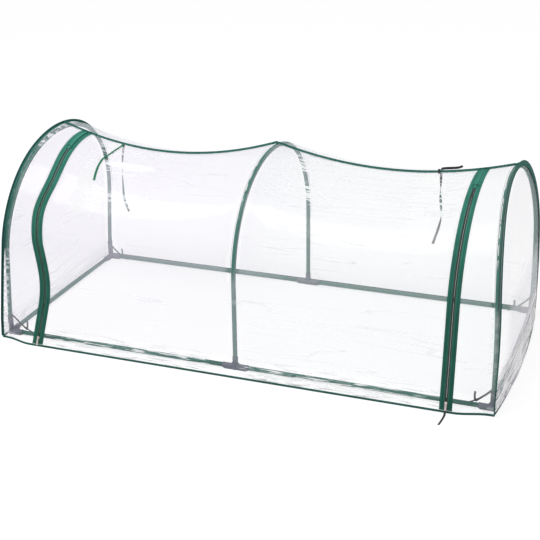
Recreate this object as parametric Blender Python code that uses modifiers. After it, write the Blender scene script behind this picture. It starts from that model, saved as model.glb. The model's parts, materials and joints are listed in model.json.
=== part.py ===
"""Row cover tunnel: a clear film cover with a zipped front over three tube hoops.

Metres, +Z up. X runs along the tunnel, -Y is the front with the two zips, z = 0 is the ground.
"""

import math

import bmesh
import bpy
from mathutils import Matrix, Vector

# Frame of coated steel tube
TUBE_RADIUS = 0.009
TUBE_WALL = 0.0008
NECK_RADIUS = 0.0075  # a leg's narrowed top, inside the crown tube's bore
NECK_ANGLE = math.radians(4)
HALF_LENGTH = 1.0  # middle of the tunnel to an end hoop's axis
HALF_WIDTH = 0.445  # middle of the tunnel to a ground rail's axis
RAIL_HEIGHT = 0.0115
SPRING_HEIGHT = 0.355  # where a hoop's legs start to bend
SIDE_RADIUS = 0.40
CROWN_ANGLE = math.radians(20)  # the flatter top, each side of the apex
JOINT_ANGLE = math.radians(39)  # from the apex to where leg and crown tubes meet
END_LEAN = {-1: 0.045, 0: 0.0, 1: 0.05}  # the stretched film draws the end hoops' tops inwards
LEAN_POWER = {-1: 1.1, 0: 1.0, 1: 2.5}  # the right one bends mostly near its top
LEAN_START = 0.08  # the sockets hold the legs upright below this height

# Moulded connectors
SOCKET_RADIUS = 0.0112
SOCKET_BORE = 0.0096
SOCKET_REACH = 0.052  # connector's middle to a ground socket's mouth
LEG_SOCKET_REACH = 0.058
TEE_LEG_REACH = 0.040
HUB_SIZE = 0.023
TUBE_STOP = 0.0145  # connector's middle to a tube's end
WEB_SIZE = 0.022
WEB_WIDTH = 0.004

# Film cover
FILM = 0.0005
FILM_LIFT = 0.0113  # tube axis to the middle of the film
END_OFFSET = 0.0133  # hoop axis to the end sheet
SAG = {-1: 0.083, 1: 0.067}  # depth of the film's sag along the ridge, left and right bay
FRONT_FLARE = math.radians(9.5)  # slope of the skirt off the vertical
FRONT_FLARE_END = math.radians(5.5)
BACK_FLARE = math.radians(4)
FLARE_FADE = (0.87, 1.0)  # the skirt's slope eases between these distances along the tunnel
END_BULGE = 0.028
END_BULGE_HEIGHT = 0.42
HEM_HEIGHT = 0.010  # film's lower edge, just above the hem binding
SEAM_Y = 0.05  # the door's seam, a little behind the apex
GAP = 0.0004

# Tape goods
BINDING_WIDTH = 0.0085
BINDING = 0.0024
COIL_GAP = 0.0008  # zip's middle line to a coil's side
COIL_WIDTH = 0.0026
TAPE_EDGE = 0.024  # zip's middle line to its tape's outer edge
TAPE = 0.0009
COIL_TOP = 0.045  # plain tape above the coil, below the seam
TIE_WIDTH = 0.010
TIE = 0.0010
CORNER_TIE_WIDTH = 0.008

# Zips: station, distance along the tunnel and its slope. The left one hangs in slack waves, and the
# lowest stretch of both is straight for the slider
ZIP_KNOTS = {
    -1: (
        (-2.0, -0.836, 0.07),
        (-1.6, -0.808, 0.07),
        (-1.4, -0.803, -0.02),
        (-0.8, -0.850, 0.0),
        (-0.5, -0.832, 0.0),
        (0.1, -0.856, 0.0),
    ),
    1: ((-2.0, 0.843, -0.005), (0.1, 0.8325, -0.005)),
}
ZIP_FOOT = -1.976  # stations of the straight stretch's two ends
ZIP_STRAIGHT = -1.6

# Sliders, in their own axes: across the zip, inwards and up. Boxes are lowest and highest corners
SLIDER_HEIGHT = 0.033
SLIDER_PLATE = ((-0.0048, -0.0034, -0.008), (0.0048, -0.0019, 0.010))
SLIDER_WEDGE = ((-0.00045, -0.0030, 0.0045), (0.00045, 0.0028, 0.0080))  # parts the two coils
SLIDER_BRIDGE = ((-0.0010, -0.0070, -0.0050), (0.0010, -0.0030, 0.0050))  # carries the pull
SLIDER_WINDOW = ((-0.003, -0.0060, -0.0032), (0.003, -0.0036, 0.0032))
BACK_PLATE_REACH = 0.0046  # from the zip's middle line, on the door's side only
BACK_PLATE_DEPTH = (0.0019, 0.0031)
BACK_PLATE_HEIGHTS = (-0.006, 0.010)
PULL_PIVOT = Vector((0, -0.0048, -0.0010))
PULL_LENGTH = 0.027
PULL_TAB = ((-0.0040, -0.0006, -PULL_LENGTH), (0.0040, 0.0006, 0.0005))
PULL_HOLE = ((-0.0022, -0.003, -0.0075), (0.0022, 0.003, -0.0005))

# The ribbon on the right pull: steps from the pull's lower end, and its height on the ground
RIBBON_WIDTH = 0.008
RIBBON_FLOOR = 0.0012
RIBBON_STEPS = ((0.001, -0.012, 0.0008), (0.001, -0.030, 0), (-0.001, -0.060, 0), (-0.004, -0.088, 0))

# Tie tapes at the door's seam. The inside ones hang: where they leave the seam, and steps from there
HANGING_TIES = {
    "left": (
        -0.683,
        (
            (0, 0, 0),
            (-0.008, -0.002, -0.05),
            (-0.014, 0, -0.10),
            (-0.016, 0.001, -0.17),
            (-0.014, 0.002, -0.24),
            (0.003, 0.004, -0.297),
        ),
    ),
    "right": (
        0.670,
        (
            (0, 0, 0),
            (0.001, -0.002, -0.04),
            (0.001, 0, -0.09),
            (0.007, 0.001, -0.16),
            (0.002, 0.002, -0.21),
            (-0.0215, 0.004, -0.294),
        ),
    ),
}
# The outside ones lie on the film: distance along, degrees from the apex, and lift
LYING_TIES = {
    "left": (
        (-0.683, 4.7, 0.003),
        (-0.675, 0.0, 0.003),
        (-0.6795, -10.6, 0.003),
        (-0.689, -16.0, 0.003),
        (-0.6835, -25.0, 0.003),
        (-0.668, -36.6, 0.004),
    ),
    "right": (
        (0.670, 6.0, 0.003),
        (0.660, 11.0, 0.003),
        (0.660, 15.5, 0.004),
        (0.683, 18.3, 0.005),
        (0.714, 18.2, 0.006),
        (0.731, 17.6, 0.011),
    ),
}

# Corner ties: distance from the corner along the tunnel, inwards, and height
CORNER_TIE = (
    (0.002, 0.0105, 0.078),
    (0.010, 0.0115, 0.072),
    (0.030, 0.0125, 0.052),
    (0.055, 0.0125, 0.030),
    (0.066, 0.0125, 0.022),
    (0.070, 0.0125, 0.040),
    (0.069, 0.0150, 0.058),
)

# The ground point under the middle of everything that is there, ribbon included
ORIGIN_SHIFT = Vector((0.0, 0.063, 0.0))

# Signs of a corner's X and Y, anticlockwise from the front left as seen from above
CORNERS = {"front_left": (-1, -1), "front_right": (1, -1), "back_right": (1, 1), "back_left": (-1, 1)}

CROWN_RADIUS = (HALF_WIDTH - SIDE_RADIUS * (1 - math.sin(CROWN_ANGLE))) / math.sin(CROWN_ANGLE)
SIDE_CENTRE = HALF_WIDTH - SIDE_RADIUS
CROWN_CENTRE = SPRING_HEIGHT + (SIDE_RADIUS - CROWN_RADIUS) * math.cos(CROWN_ANGLE)
TOP = CROWN_CENTRE + CROWN_RADIUS
RIGHT_ANGLE = math.pi / 2


def clear_scene():
    for old in list(bpy.data.objects):
        bpy.data.objects.remove(old, do_unlink=True)


def linear(hex_colour):
    """Linear RGBA of an sRGB hex colour."""
    parts = [int(hex_colour[i : i + 2], 16) / 255 for i in (1, 3, 5)]
    return tuple(p / 12.92 if p <= 0.04045 else ((p + 0.055) / 1.055) ** 2.4 for p in parts) + (1.0,)


def material(name, hex_colour, roughness, metallic=0.0, alpha=1.0):
    made = bpy.data.materials.new(name)
    made.use_nodes = True
    shader = made.node_tree.nodes["Principled BSDF"]
    shader.inputs["Base Color"].default_value = linear(hex_colour)
    shader.inputs["Roughness"].default_value = roughness
    shader.inputs["Metallic"].default_value = metallic
    shader.inputs["Alpha"].default_value = alpha
    made.diffuse_color = linear(hex_colour)[:3] + (alpha,)
    return made


def smoothstep(value):
    value = min(max(value, 0.0), 1.0)
    return value * value * (3 - 2 * value)


def mix(a, b, share):
    return a + (b - a) * share


def steps(first, last, count):
    """count + 1 even values from first to last."""
    return [mix(first, last, i / count) for i in range(count + 1)]


def arch(turn, lift=0.0):
    """(y, z) on a hoop's bent part: turn is from the apex, positive to the back, lift is outwards."""
    side = math.copysign(1, turn)
    if abs(turn) <= CROWN_ANGLE:
        radius = CROWN_RADIUS + lift
        return radius * math.sin(turn), CROWN_CENTRE + radius * math.cos(turn)
    radius = SIDE_RADIUS + lift
    return side * SIDE_CENTRE + radius * math.sin(turn), SPRING_HEIGHT + radius * math.cos(turn)


def hoop_x(side, height):
    """A hoop's axis along the tunnel: the end hoops spring inwards towards the top."""
    free = max(height - LEAN_START, 0.0) / (TOP - LEAN_START)
    lean = END_LEAN[side] * free ** LEAN_POWER[side]
    return side * (HALF_LENGTH - lean)


def flare(x, back):
    if back:
        return BACK_FLARE
    fade = smoothstep((abs(x) - FLARE_FADE[0]) / (FLARE_FADE[1] - FLARE_FADE[0]))
    return mix(FRONT_FLARE, FRONT_FLARE_END, fade)


def bay_sag(x, edge_x):
    """Depth of the film's sag at x, in a bay that ends at a hoop at edge_x."""
    share = min(abs(x) / abs(edge_x), 1.0)
    return SAG[1 if x > 0 else -1] * 4 * share * (1 - share)


def film(x, station, lift=0.0):
    """A point of the film, and its outward normal across the tunnel.

    station runs over the section: -2 front hem, -1 where the film leaves the hoop, 0 apex, 1 and 2
    the same at the back. lift is outwards from the middle of the film.
    """
    back = station > 0
    sign = 1 if back else -1
    side = 1 if x > 0 else -1
    leave = RIGHT_ANGLE - flare(x, back)
    turn = sign * min(abs(station), 1.0) * leave
    y, z = arch(turn, FILM_LIFT)
    sag = bay_sag(x, hoop_x(side, z)) * math.cos(turn)
    normal = Vector((0, math.sin(turn), math.cos(turn)))
    point = Vector((x, y, z)) - normal * sag
    if abs(station) > 1:
        hem = Vector((x, y + sign * z * math.tan(flare(x, back)), 0))
        down = hem - point
        point = point + down * (abs(station) - 1)
        normal = Vector((0, -sign * down.z, sign * down.y)).normalized()
    return point + normal * lift, normal


def station_of_turn(turn, x):
    return turn / (RIGHT_ANGLE - flare(x, turn > 0))


def leg_station(height, side):
    """Station on the front skirt, at the zip, of a height above the ground."""
    top, _ = film(zip_x(side, -1), -1)
    return -2 + height / top.z


def seam_station():
    return math.asin(SEAM_Y / (CROWN_RADIUS + FILM_LIFT)) / (RIGHT_ANGLE - BACK_FLARE)


def zip_x(side, station):
    """The zip's middle line: a smooth curve through its knots with their slopes."""
    station = max(station, ZIP_FOOT)
    knots = ZIP_KNOTS[side]
    for (first, low, rise), (last, high, last_rise) in zip(knots, knots[1:]):
        if station <= last:
            break
    span = last - first
    share = (station - first) / span
    curve = span * share * (1 - share) * (rise * (1 - share) - last_rise * share)
    return mix(low, high, share * share * (3 - 2 * share)) + curve


def cover(x, station, lift=0.0):
    """A point of the film that stays above the hem binding."""
    top, _ = film(x, math.copysign(1, station))
    most = 2 - HEM_HEIGHT / top.z
    return film(x, math.copysign(min(abs(station), most), station), lift)[0]


def section(first=-2.0, last=2.0):
    """Stations of the film's rows: about seven degrees apart over the hoop, wider on the skirts."""
    half = steps(0, 1, 11) + steps(1, 2, 5)[1:]
    wanted = [-s for s in half[:0:-1]] + half
    return [first] + [s for s in wanted if first + 0.02 < s < last - 0.02] + [last]


def link(obj, collection, look):
    collection.objects.link(obj)
    obj.parent = bpy.data.objects["tunnel_origin"]
    obj.data.materials.append(look)
    return obj


def shade(mesh, degrees=40):
    mesh.shade_smooth()
    mesh.set_sharp_from_angle(angle=math.radians(degrees))


def tube(name, points, radii, collection, look):
    """A hollow tube along a polyline: an uncapped bevelled curve, thickened inwards."""
    curve = bpy.data.curves.new(name, "CURVE")
    curve.dimensions = "3D"
    curve.bevel_depth = TUBE_RADIUS
    curve.bevel_resolution = 3
    curve.use_fill_caps = False
    spline = curve.splines.new("POLY")
    spline.points.add(len(points) - 1)
    for place, point, radius in zip(spline.points, points, radii):
        place.co = (*point, 1)
        place.radius = radius / TUBE_RADIUS
    spline.use_smooth = True
    made = link(bpy.data.objects.new(name, curve), collection, look)
    bore = made.modifiers.new("bore", "SOLIDIFY")
    bore.thickness = TUBE_WALL
    bore.offset = -1
    return made


def sheet(name, rows, thickness, collection, look):
    """A thin closed sheet: a grid laid through rows of points, then thickened both ways."""
    across = len(rows[0]) - 1
    along = len(rows) - 1
    grid = bmesh.new()
    bmesh.ops.create_grid(grid, x_segments=across, y_segments=along, size=1)
    for vert in grid.verts:
        column = round((vert.co.x + 1) / 2 * across)
        row = round((vert.co.y + 1) / 2 * along)
        vert.co = rows[row][column]
    mesh = bpy.data.meshes.new(name)
    grid.to_mesh(mesh)
    grid.free()
    made = link(bpy.data.objects.new(name, mesh), collection, look)
    shade(mesh)
    shell = made.modifiers.new("thickness", "SOLIDIFY")
    shell.thickness = thickness
    shell.offset = 0
    return made


def directions(path):
    """The way a path runs at each of its points."""
    last = len(path) - 1
    return [path[min(i + 1, last)] - path[max(i - 1, 0)] for i in range(last + 1)]


def ribbon(name, path, ways, width, thickness, collection, look):
    """A flat tape along a path; ways holds the direction across it at each point."""
    rows = [[point - way * (width / 2), point + way * (width / 2)] for point, way in zip(path, ways)]
    return sheet(name, rows, thickness, collection, look)


def box(low, high):
    made = bmesh.new()
    low = Vector(low)
    size = Vector(high) - low
    place = Matrix.Translation(low + size / 2) @ Matrix.Diagonal((*size, 1))
    bmesh.ops.create_cube(made, size=1, matrix=place)
    return made


def cylinder(start, end, radius, sides=14):
    made = bmesh.new()
    start, end = Vector(start), Vector(end)
    turn = (end - start).to_track_quat("Z", "Y").to_matrix().to_4x4()
    place = Matrix.Translation((start + end) / 2) @ turn
    bmesh.ops.create_cone(
        made,
        cap_ends=True,
        segments=sides,
        radius1=radius,
        radius2=radius,
        depth=(end - start).length,
        matrix=place,
    )
    return made


def prism(corners, width):
    """A flat web: an outline in the XZ plane, given a width along Y."""
    made = bmesh.new()
    face = made.faces.new([made.verts.new(corner) for corner in corners])
    out = bmesh.ops.extrude_face_region(made, geom=[face])
    moved = [item for item in out["geom"] if isinstance(item, bmesh.types.BMVert)]
    bmesh.ops.translate(made, verts=moved, vec=(0, width, 0))
    bmesh.ops.recalc_face_normals(made, faces=made.faces)
    return made


def as_object(name, shape, collection):
    mesh = bpy.data.meshes.new(name)
    shape.to_mesh(mesh)
    shape.free()
    made = bpy.data.objects.new(name, mesh)
    collection.objects.link(made)
    return made


def combine(name, shapes, holes, cutters):
    """One mesh: the first shape joined with the rest, less the holes."""
    base = as_object(name + "_base", shapes[0], cutters)
    for kind, group in (("UNION", shapes[1:]), ("DIFFERENCE", holes)):
        for number, shape in enumerate(group):
            tool = as_object(f"{name}_{kind.lower()}_{number}", shape, cutters)
            tool.hide_render = True
            tool.display_type = "WIRE"
            step = base.modifiers.new(f"{kind.lower()}_{number}", "BOOLEAN")
            step.operation = kind
            step.object = tool
    bpy.context.view_layer.update()
    graph = bpy.context.evaluated_depsgraph_get()
    mesh = bpy.data.meshes.new_from_object(base.evaluated_get(graph))
    mesh.name = name
    shade(mesh)
    bpy.data.objects.remove(base, do_unlink=True)
    return mesh


def place(name, mesh, collection, look, location=(0, 0, 0), rotation=None):
    made = link(bpy.data.objects.new(name, mesh), collection, look)
    if rotation is not None:
        made.matrix_basis = Matrix.Translation(location) @ rotation.to_4x4()
    else:
        made.location = location
    return made


def make_rails(collection, look):
    y, z = HALF_WIDTH, RAIL_HEIGHT
    reach = HALF_LENGTH - TUBE_STOP
    for side, word in ((-1, "left"), (1, "right")):
        for front, place_word in ((-1, "front"), (1, "back")):
            ends = [Vector((side * TUBE_STOP, front * y, z)), Vector((side * reach, front * y, z))]
            tube(f"base_rail_{place_word}_{word}", ends, [TUBE_RADIUS] * 2, collection, look)
        ends = [Vector((side * HALF_LENGTH, s * (y - TUBE_STOP), z)) for s in (-1, 1)]
        tube(f"end_rail_{word}", ends, [TUBE_RADIUS] * 2, collection, look)


def make_hoops(collection, look):
    """Each hoop: two legs with a narrowed top, and the crown tube that they plug into."""
    for side, word in ((-1, "left"), (0, "middle"), (1, "right")):

        def axis(turn):
            y, z = arch(turn)
            return Vector((hoop_x(side, z), y, z))

        for back, place_word in ((-1, "front"), (1, "back")):
            heights = [RAIL_HEIGHT + TUBE_STOP, LEAN_START, mix(LEAN_START, SPRING_HEIGHT, 0.5)]
            points = [Vector((hoop_x(side, z), back * HALF_WIDTH, z)) for z in heights]
            bends = steps(RIGHT_ANGLE, JOINT_ANGLE, 6)
            necks = [JOINT_ANGLE - share * NECK_ANGLE for share in (0.12, 1.0)]
            points += [axis(back * turn) for turn in bends + necks]
            radii = [TUBE_RADIUS] * (len(points) - 2) + [NECK_RADIUS] * 2
            tube(f"hoop_{word}_{place_word}_leg", points, radii, collection, look)
        half = [JOINT_ANGLE - 0.15 * NECK_ANGLE, JOINT_ANGLE - NECK_ANGLE]
        half += steps(half[-1], CROWN_ANGLE, 2)[1:] + [CROWN_ANGLE * share for share in (0.6, 0.2)]
        turns = [-turn for turn in half] + half[::-1]
        points = [axis(turn) for turn in turns]
        tube(f"hoop_{word}_crown", points, [TUBE_RADIUS] * len(points), collection, look)


def make_connectors(collection, cutters, look):
    """A corner has ground sockets along +X and +Y and a leg socket; a tee has them along -X and +X."""
    half = HUB_SIZE / 2
    hub_box = ((-half, -half, -RAIL_HEIGHT), (half, half, half))
    bore_start = TUBE_STOP - 0.001

    def socket(direction, reach, radius, start):
        direction = Vector(direction)
        return cylinder(direction * start, direction * reach, radius)

    def web(direction):
        """A flat web between the leg socket and a ground socket."""
        low = SOCKET_RADIUS * 0.6
        edge = low + WEB_SIZE
        made = prism([(low, 0, low), (edge, 0, low), (low, 0, edge)], WEB_WIDTH)
        bmesh.ops.translate(made, verts=made.verts, vec=(0, -WEB_WIDTH / 2, 0))
        angle = math.atan2(direction[1], direction[0])
        bmesh.ops.rotate(made, verts=made.verts, cent=(0, 0, 0), matrix=Matrix.Rotation(angle, 3, "Z"))
        return made

    kinds = {
        "corner": (((1, 0, 0), (0, 1, 0)), LEG_SOCKET_REACH),
        "tee": (((-1, 0, 0), (1, 0, 0)), TEE_LEG_REACH),
    }
    meshes = {}
    for kind, (ground, leg_reach) in kinds.items():
        shapes = [box(*hub_box)]
        shapes += [socket(way, SOCKET_REACH, SOCKET_RADIUS, 0) for way in ground]
        shapes += [socket((0, 0, 1), leg_reach, SOCKET_RADIUS, 0)]
        shapes += [web(way) for way in ground]
        holes = [socket(way, SOCKET_REACH + 0.01, SOCKET_BORE, bore_start) for way in ground]
        holes += [socket((0, 0, 1), leg_reach + 0.01, SOCKET_BORE, bore_start)]
        meshes[kind] = combine(kind, shapes, holes, cutters)

    for quarter, (word, (x, y)) in enumerate(CORNERS.items()):
        spot = Vector((x * HALF_LENGTH, y * HALF_WIDTH, RAIL_HEIGHT))
        turn = Matrix.Rotation(quarter * RIGHT_ANGLE, 3, "Z")
        place(f"corner_connector_{word}", meshes["corner"], collection, look, spot, turn)
    for word, y in (("front", -1), ("back", 1)):
        spot = Vector((0, y * HALF_WIDTH, RAIL_HEIGHT))
        place(f"tee_connector_{word}", meshes["tee"], collection, look, spot)


def end_x(side, z):
    return hoop_x(side, z) + side * END_OFFSET


def edge_height(side, station):
    """Height of the film over an end hoop."""
    return cover(side * HALF_LENGTH, station).z


def sheet_edge(side, station):
    """Where the film beside an end arch stops, just short of the arch binding."""
    return end_x(side, edge_height(side, station)) - side * (BINDING / 2 + GAP)


def hoop_edge(side, station):
    return hoop_x(side, edge_height(side, station))


def through_middle(left, right, count):
    """Columns from left to right with one exactly over the middle hoop."""
    return steps(left, 0, count)[:-1] + steps(0, right, count)


def back_columns(station):
    inner = through_middle(hoop_edge(-1, station), hoop_edge(1, station), 11)
    return [sheet_edge(-1, station)] + inner + [sheet_edge(1, station)]


def door_columns(station):
    inset = TAPE_EDGE + GAP
    return through_middle(zip_x(-1, station) + inset, zip_x(1, station) - inset, 11)


def strip_columns(side, station):
    """From the zip outwards to the end arch."""
    near = zip_x(side, station) + side * (TAPE_EDGE + GAP)
    return steps(near, hoop_edge(side, station), 3) + [sheet_edge(side, station)]


def make_film(collection, look):
    seam_gap = (BINDING / 2 + GAP) / CROWN_RADIUS / (RIGHT_ANGLE - BACK_FLARE)
    over = section(seam_station() + seam_gap, 2)
    rows = [[cover(x, s) for x in back_columns(s)] for s in over]
    sheet("cover_back_sheet", rows, FILM, collection, look)

    front = section(-2, seam_station() - seam_gap)
    rows = [[cover(x, s) for x in door_columns(s)] for s in front]
    sheet("door_panel", rows, FILM, collection, look)
    for side, word in ((-1, "left"), (1, "right")):
        rows = [[cover(x, s) for x in sorted(strip_columns(side, s))] for s in front]
        sheet(f"cover_front_strip_{word}", rows, FILM, collection, look)


def arch_point(side, station, lift):
    """A point of the film's section at an end arch, in the plane of its end sheet."""
    point = cover(side * (HALF_LENGTH + END_OFFSET), station, lift)
    point.x = end_x(side, edge_height(side, station))
    return point


def bulge(front, back, point):
    """How far an end sheet swells outwards near the ground."""
    across = (point.y - front.y) / (back.y - front.y)
    return END_BULGE * max(0.0, 1 - point.z / END_BULGE_HEIGHT) ** 1.5 * 4 * across * (1 - across)


def across_end(side, front, back, count):
    """Points across an end, from the front arch to the back one."""
    row = [front.lerp(back, i / count) for i in range(count + 1)]
    for point in row:
        point.x += side * bulge(front, back, point)
    return row


def make_end_sheets(collection, look):
    """Each end sheet: level rows between the two halves of its arch, and a short one near the apex."""
    levels = [(s, -BINDING / 2 - GAP) for s in section() if s > 0] + [(0.02, -BINDING - GAP)]
    levels.sort(reverse=True)
    for side, word in ((-1, "left"), (1, "right")):
        ends = [(arch_point(side, -s, lift), arch_point(side, s, lift)) for s, lift in levels]
        rows = [across_end(side, front, back, 8) for front, back in ends]
        rows = rows if side > 0 else [row[::-1] for row in rows]
        sheet(f"cover_end_sheet_{word}", rows, FILM, collection, look)


def make_bindings(collection, look):
    """The folded tapes that stand on the seams: along the ridge and round both end arches."""
    rise = BINDING_WIDTH / 2 - BINDING / 2
    seam = seam_station()
    columns = back_columns(seam)
    path = [cover(x, seam, rise) for x in columns]
    ways = [film(x, seam)[1] for x in columns]
    ribbon("ridge_binding", path, ways, BINDING_WIDTH, BINDING, collection, look)

    for side, word in ((-1, "left"), (1, "right")):
        rows = section()
        path = [arch_point(side, s, rise) for s in rows]
        ways = [film(side * HALF_LENGTH, s)[1] for s in rows]
        ribbon(f"arch_binding_{word}", path, ways, BINDING_WIDTH, BINDING, collection, look)


def hem_point(x, station):
    return Vector((x, film(x, station)[0].y, HEM_HEIGHT / 2))


def make_hems(collection, look):
    """One hem from zip to zip round the ends and the back, and one on the door."""
    height = HEM_HEIGHT - 2 * GAP

    def run(name, path):
        ribbon(name, path, [Vector((0, 0, 1))] * len(path), height, BINDING, collection, look)

    ends = {}
    fronts = {}
    for side in (-1, 1):
        corner = side * (HALF_LENGTH + END_OFFSET)
        columns = [zip_x(side, -2) + side * COIL_GAP] + strip_columns(side, -2)[:-1] + [corner]
        fronts[side] = [hem_point(x, -2) for x in columns]
        ends[side] = across_end(side, hem_point(corner, -2), hem_point(corner, 2), 8)
    back = [hem_point(x, 2) for x in back_columns(2)[1:-1]]
    path = fronts[-1][:-1] + ends[-1] + back + ends[1][::-1] + fronts[1][-2::-1]
    run("cover_hem_binding", path)

    columns = [zip_x(-1, -2) + COIL_GAP] + door_columns(-2)[1:-1] + [zip_x(1, -2) - COIL_GAP]
    run("door_hem_binding", [hem_point(x, -2) for x in columns])


def make_zips(collection, looks):
    """Each zip: a tape and a coil on the cover's side, and the same on the door's side."""
    top = seam_station() - (BINDING / 2 + GAP) / CROWN_RADIUS / (RIGHT_ANGLE - BACK_FLARE)
    coil_top = seam_station() - COIL_TOP / CROWN_RADIUS / (RIGHT_ANGLE - FRONT_FLARE)
    coil_edge = COIL_GAP + COIL_WIDTH
    strips = (
        ("tape", coil_edge + GAP, TAPE_EDGE, top, TAPE),
        ("coil", COIL_GAP, coil_edge, coil_top, COIL_WIDTH),
    )
    for side, word in ((-1, "left"), (1, "right")):
        for outward, part in ((side, "cover"), (-side, "door")):
            for kind, near, far, last, thickness in strips:
                path, ways = [], []
                for station in section(-2, last):
                    x = zip_x(side, station) + outward * (near + far) / 2
                    half = (far - near) / 2
                    path.append(cover(x, station))
                    ways.append((cover(x + half, station) - cover(x - half, station)).normalized())
                name = f"zip_{kind}_{word}_{part}"
                ribbon(name, path, ways, far - near, thickness, collection, looks[kind])


def zip_frame(side):
    """Where a slider rests: its middle, and the axes across, inwards and up along the zip."""
    station = leg_station(SLIDER_HEIGHT, side)
    low, _ = film(zip_x(side, ZIP_FOOT), ZIP_FOOT)
    high, _ = film(zip_x(side, ZIP_STRAIGHT), ZIP_STRAIGHT)
    point, normal = film(zip_x(side, station), station)
    up = (high - low).normalized()
    inward = -normal
    across = inward.cross(up).normalized()
    inward = up.cross(across)
    return point, Matrix((across, inward, up)).transposed()


def make_sliders(collection, cutters, looks):
    """A slider rides on the door's coil: its back plate is on that side only, so the door lifts freely."""
    for side, word in ((-1, "left"), (1, "right")):
        point, axes = zip_frame(side)
        door = -side  # the door's side of the zip, along the slider's X
        edges = sorted((0.0, door * BACK_PLATE_REACH))
        back_plate = list(zip(edges, BACK_PLATE_DEPTH, BACK_PLATE_HEIGHTS))
        shapes = [box(*corners) for corners in (SLIDER_PLATE, SLIDER_WEDGE, back_plate, SLIDER_BRIDGE)]
        mesh = combine(f"slider_{word}", shapes, [box(*SLIDER_WINDOW)], cutters)
        place(f"zip_slider_{word}", mesh, collection, looks["metal"], point, axes)

        mesh = combine(f"pull_{word}", [box(*PULL_TAB)], [box(*PULL_HOLE)], cutters)
        pivot = point + axes @ PULL_PIVOT
        place(f"zip_pull_{word}", mesh, collection, looks["metal"], pivot, axes)


def make_pull_ribbon(collection, look):
    """The ribbon tied to the right pull, lying on the ground in front of the hem."""
    point, axes = zip_frame(1)
    end = point + axes @ (PULL_PIVOT + Vector((0, -0.0016, -PULL_LENGTH + 0.004)))
    path = [end, Vector((end.x, end.y - 0.004, end.z * 0.55))]
    path += [Vector((end.x + x, end.y + y, RIBBON_FLOOR + z)) for x, y, z in RIBBON_STEPS]
    across = [Vector((1, 0, 0))] * len(path)
    ribbon("zip_pull_ribbon_right", path, across, RIBBON_WIDTH, TIE, collection, look)


def make_ties(collection, look):
    """Two tapes at each end of the door's seam hold the rolled-up door: one inside, one outside."""
    for side, (x, offsets) in HANGING_TIES.items():
        start, _ = film(x, seam_station(), -0.003)
        path = [start + Vector(offset) for offset in offsets]
        across = [Vector((1, 0, 0))] * len(path)
        ribbon(f"tie_tape_{side}_inside", path, across, TIE_WIDTH, TIE, collection, look)

    parts = 3  # a lying tape bends with the film between its spots
    for side, spots in LYING_TIES.items():
        finer = [Vector(a).lerp(b, i / parts) for a, b in zip(spots, spots[1:]) for i in range(parts)]
        path, normals = [], []
        for x, turn, lift in finer + [Vector(spots[-1])]:
            point, normal = film(x, station_of_turn(math.radians(turn), x), lift)
            path.append(point)
            normals.append(normal)
        ways = [along.cross(normal).normalized() for along, normal in zip(directions(path), normals)]
        ribbon(f"tie_tape_{side}_outside", path, ways, TIE_WIDTH, TIE, collection, look)


def make_corner_ties(collection, look):
    """A tape inside each corner, round the leg and down to a loop round the long ground rail."""
    for word, (x, y) in CORNERS.items():
        path = [
            Vector((x * (HALF_LENGTH - along), y * (HALF_WIDTH - inward), height))
            for along, inward, height in CORNER_TIE
        ]
        ways = [along.cross(Vector((0, y, 0))).normalized() for along in directions(path)]
        ribbon(f"corner_tie_{word}", path, ways, CORNER_TIE_WIDTH, TIE, collection, look)


def main():
    clear_scene()
    scene = bpy.context.scene
    collection = bpy.data.collections.new("row_cover_tunnel")
    cutters = bpy.data.collections.new("cutters")
    scene.collection.children.link(collection)
    scene.collection.children.link(cutters)
    origin = bpy.data.objects.new("tunnel_origin", None)
    origin.location = ORIGIN_SHIFT
    collection.objects.link(origin)

    looks = {
        "tube": material("green_coated_steel", "#2C7F66", 0.35),
        "connector": material("grey_plastic", "#85879A", 0.45),
        "film": material("clear_film", "#F4F2FA", 0.12, alpha=0.25),
        "tape": material("green_woven_tape", "#2E7A5C", 0.75),
        "coil": material("grey_brown_coil", "#4F5B52", 0.5),
        "metal": material("nickel_plated_zinc", "#C9C2C4", 0.3, metallic=1.0),
    }
    make_rails(collection, looks["tube"])
    make_hoops(collection, looks["tube"])
    make_connectors(collection, cutters, looks["connector"])
    make_film(collection, looks["film"])
    make_end_sheets(collection, looks["film"])
    make_bindings(collection, looks["tape"])
    make_hems(collection, looks["tape"])
    make_zips(collection, looks)
    make_sliders(collection, cutters, looks)
    make_pull_ribbon(collection, looks["tape"])
    make_ties(collection, looks["tape"])
    make_corner_ties(collection, looks["tape"])


main()
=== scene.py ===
import json
import math
from functools import partial
from itertools import accumulate

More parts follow.
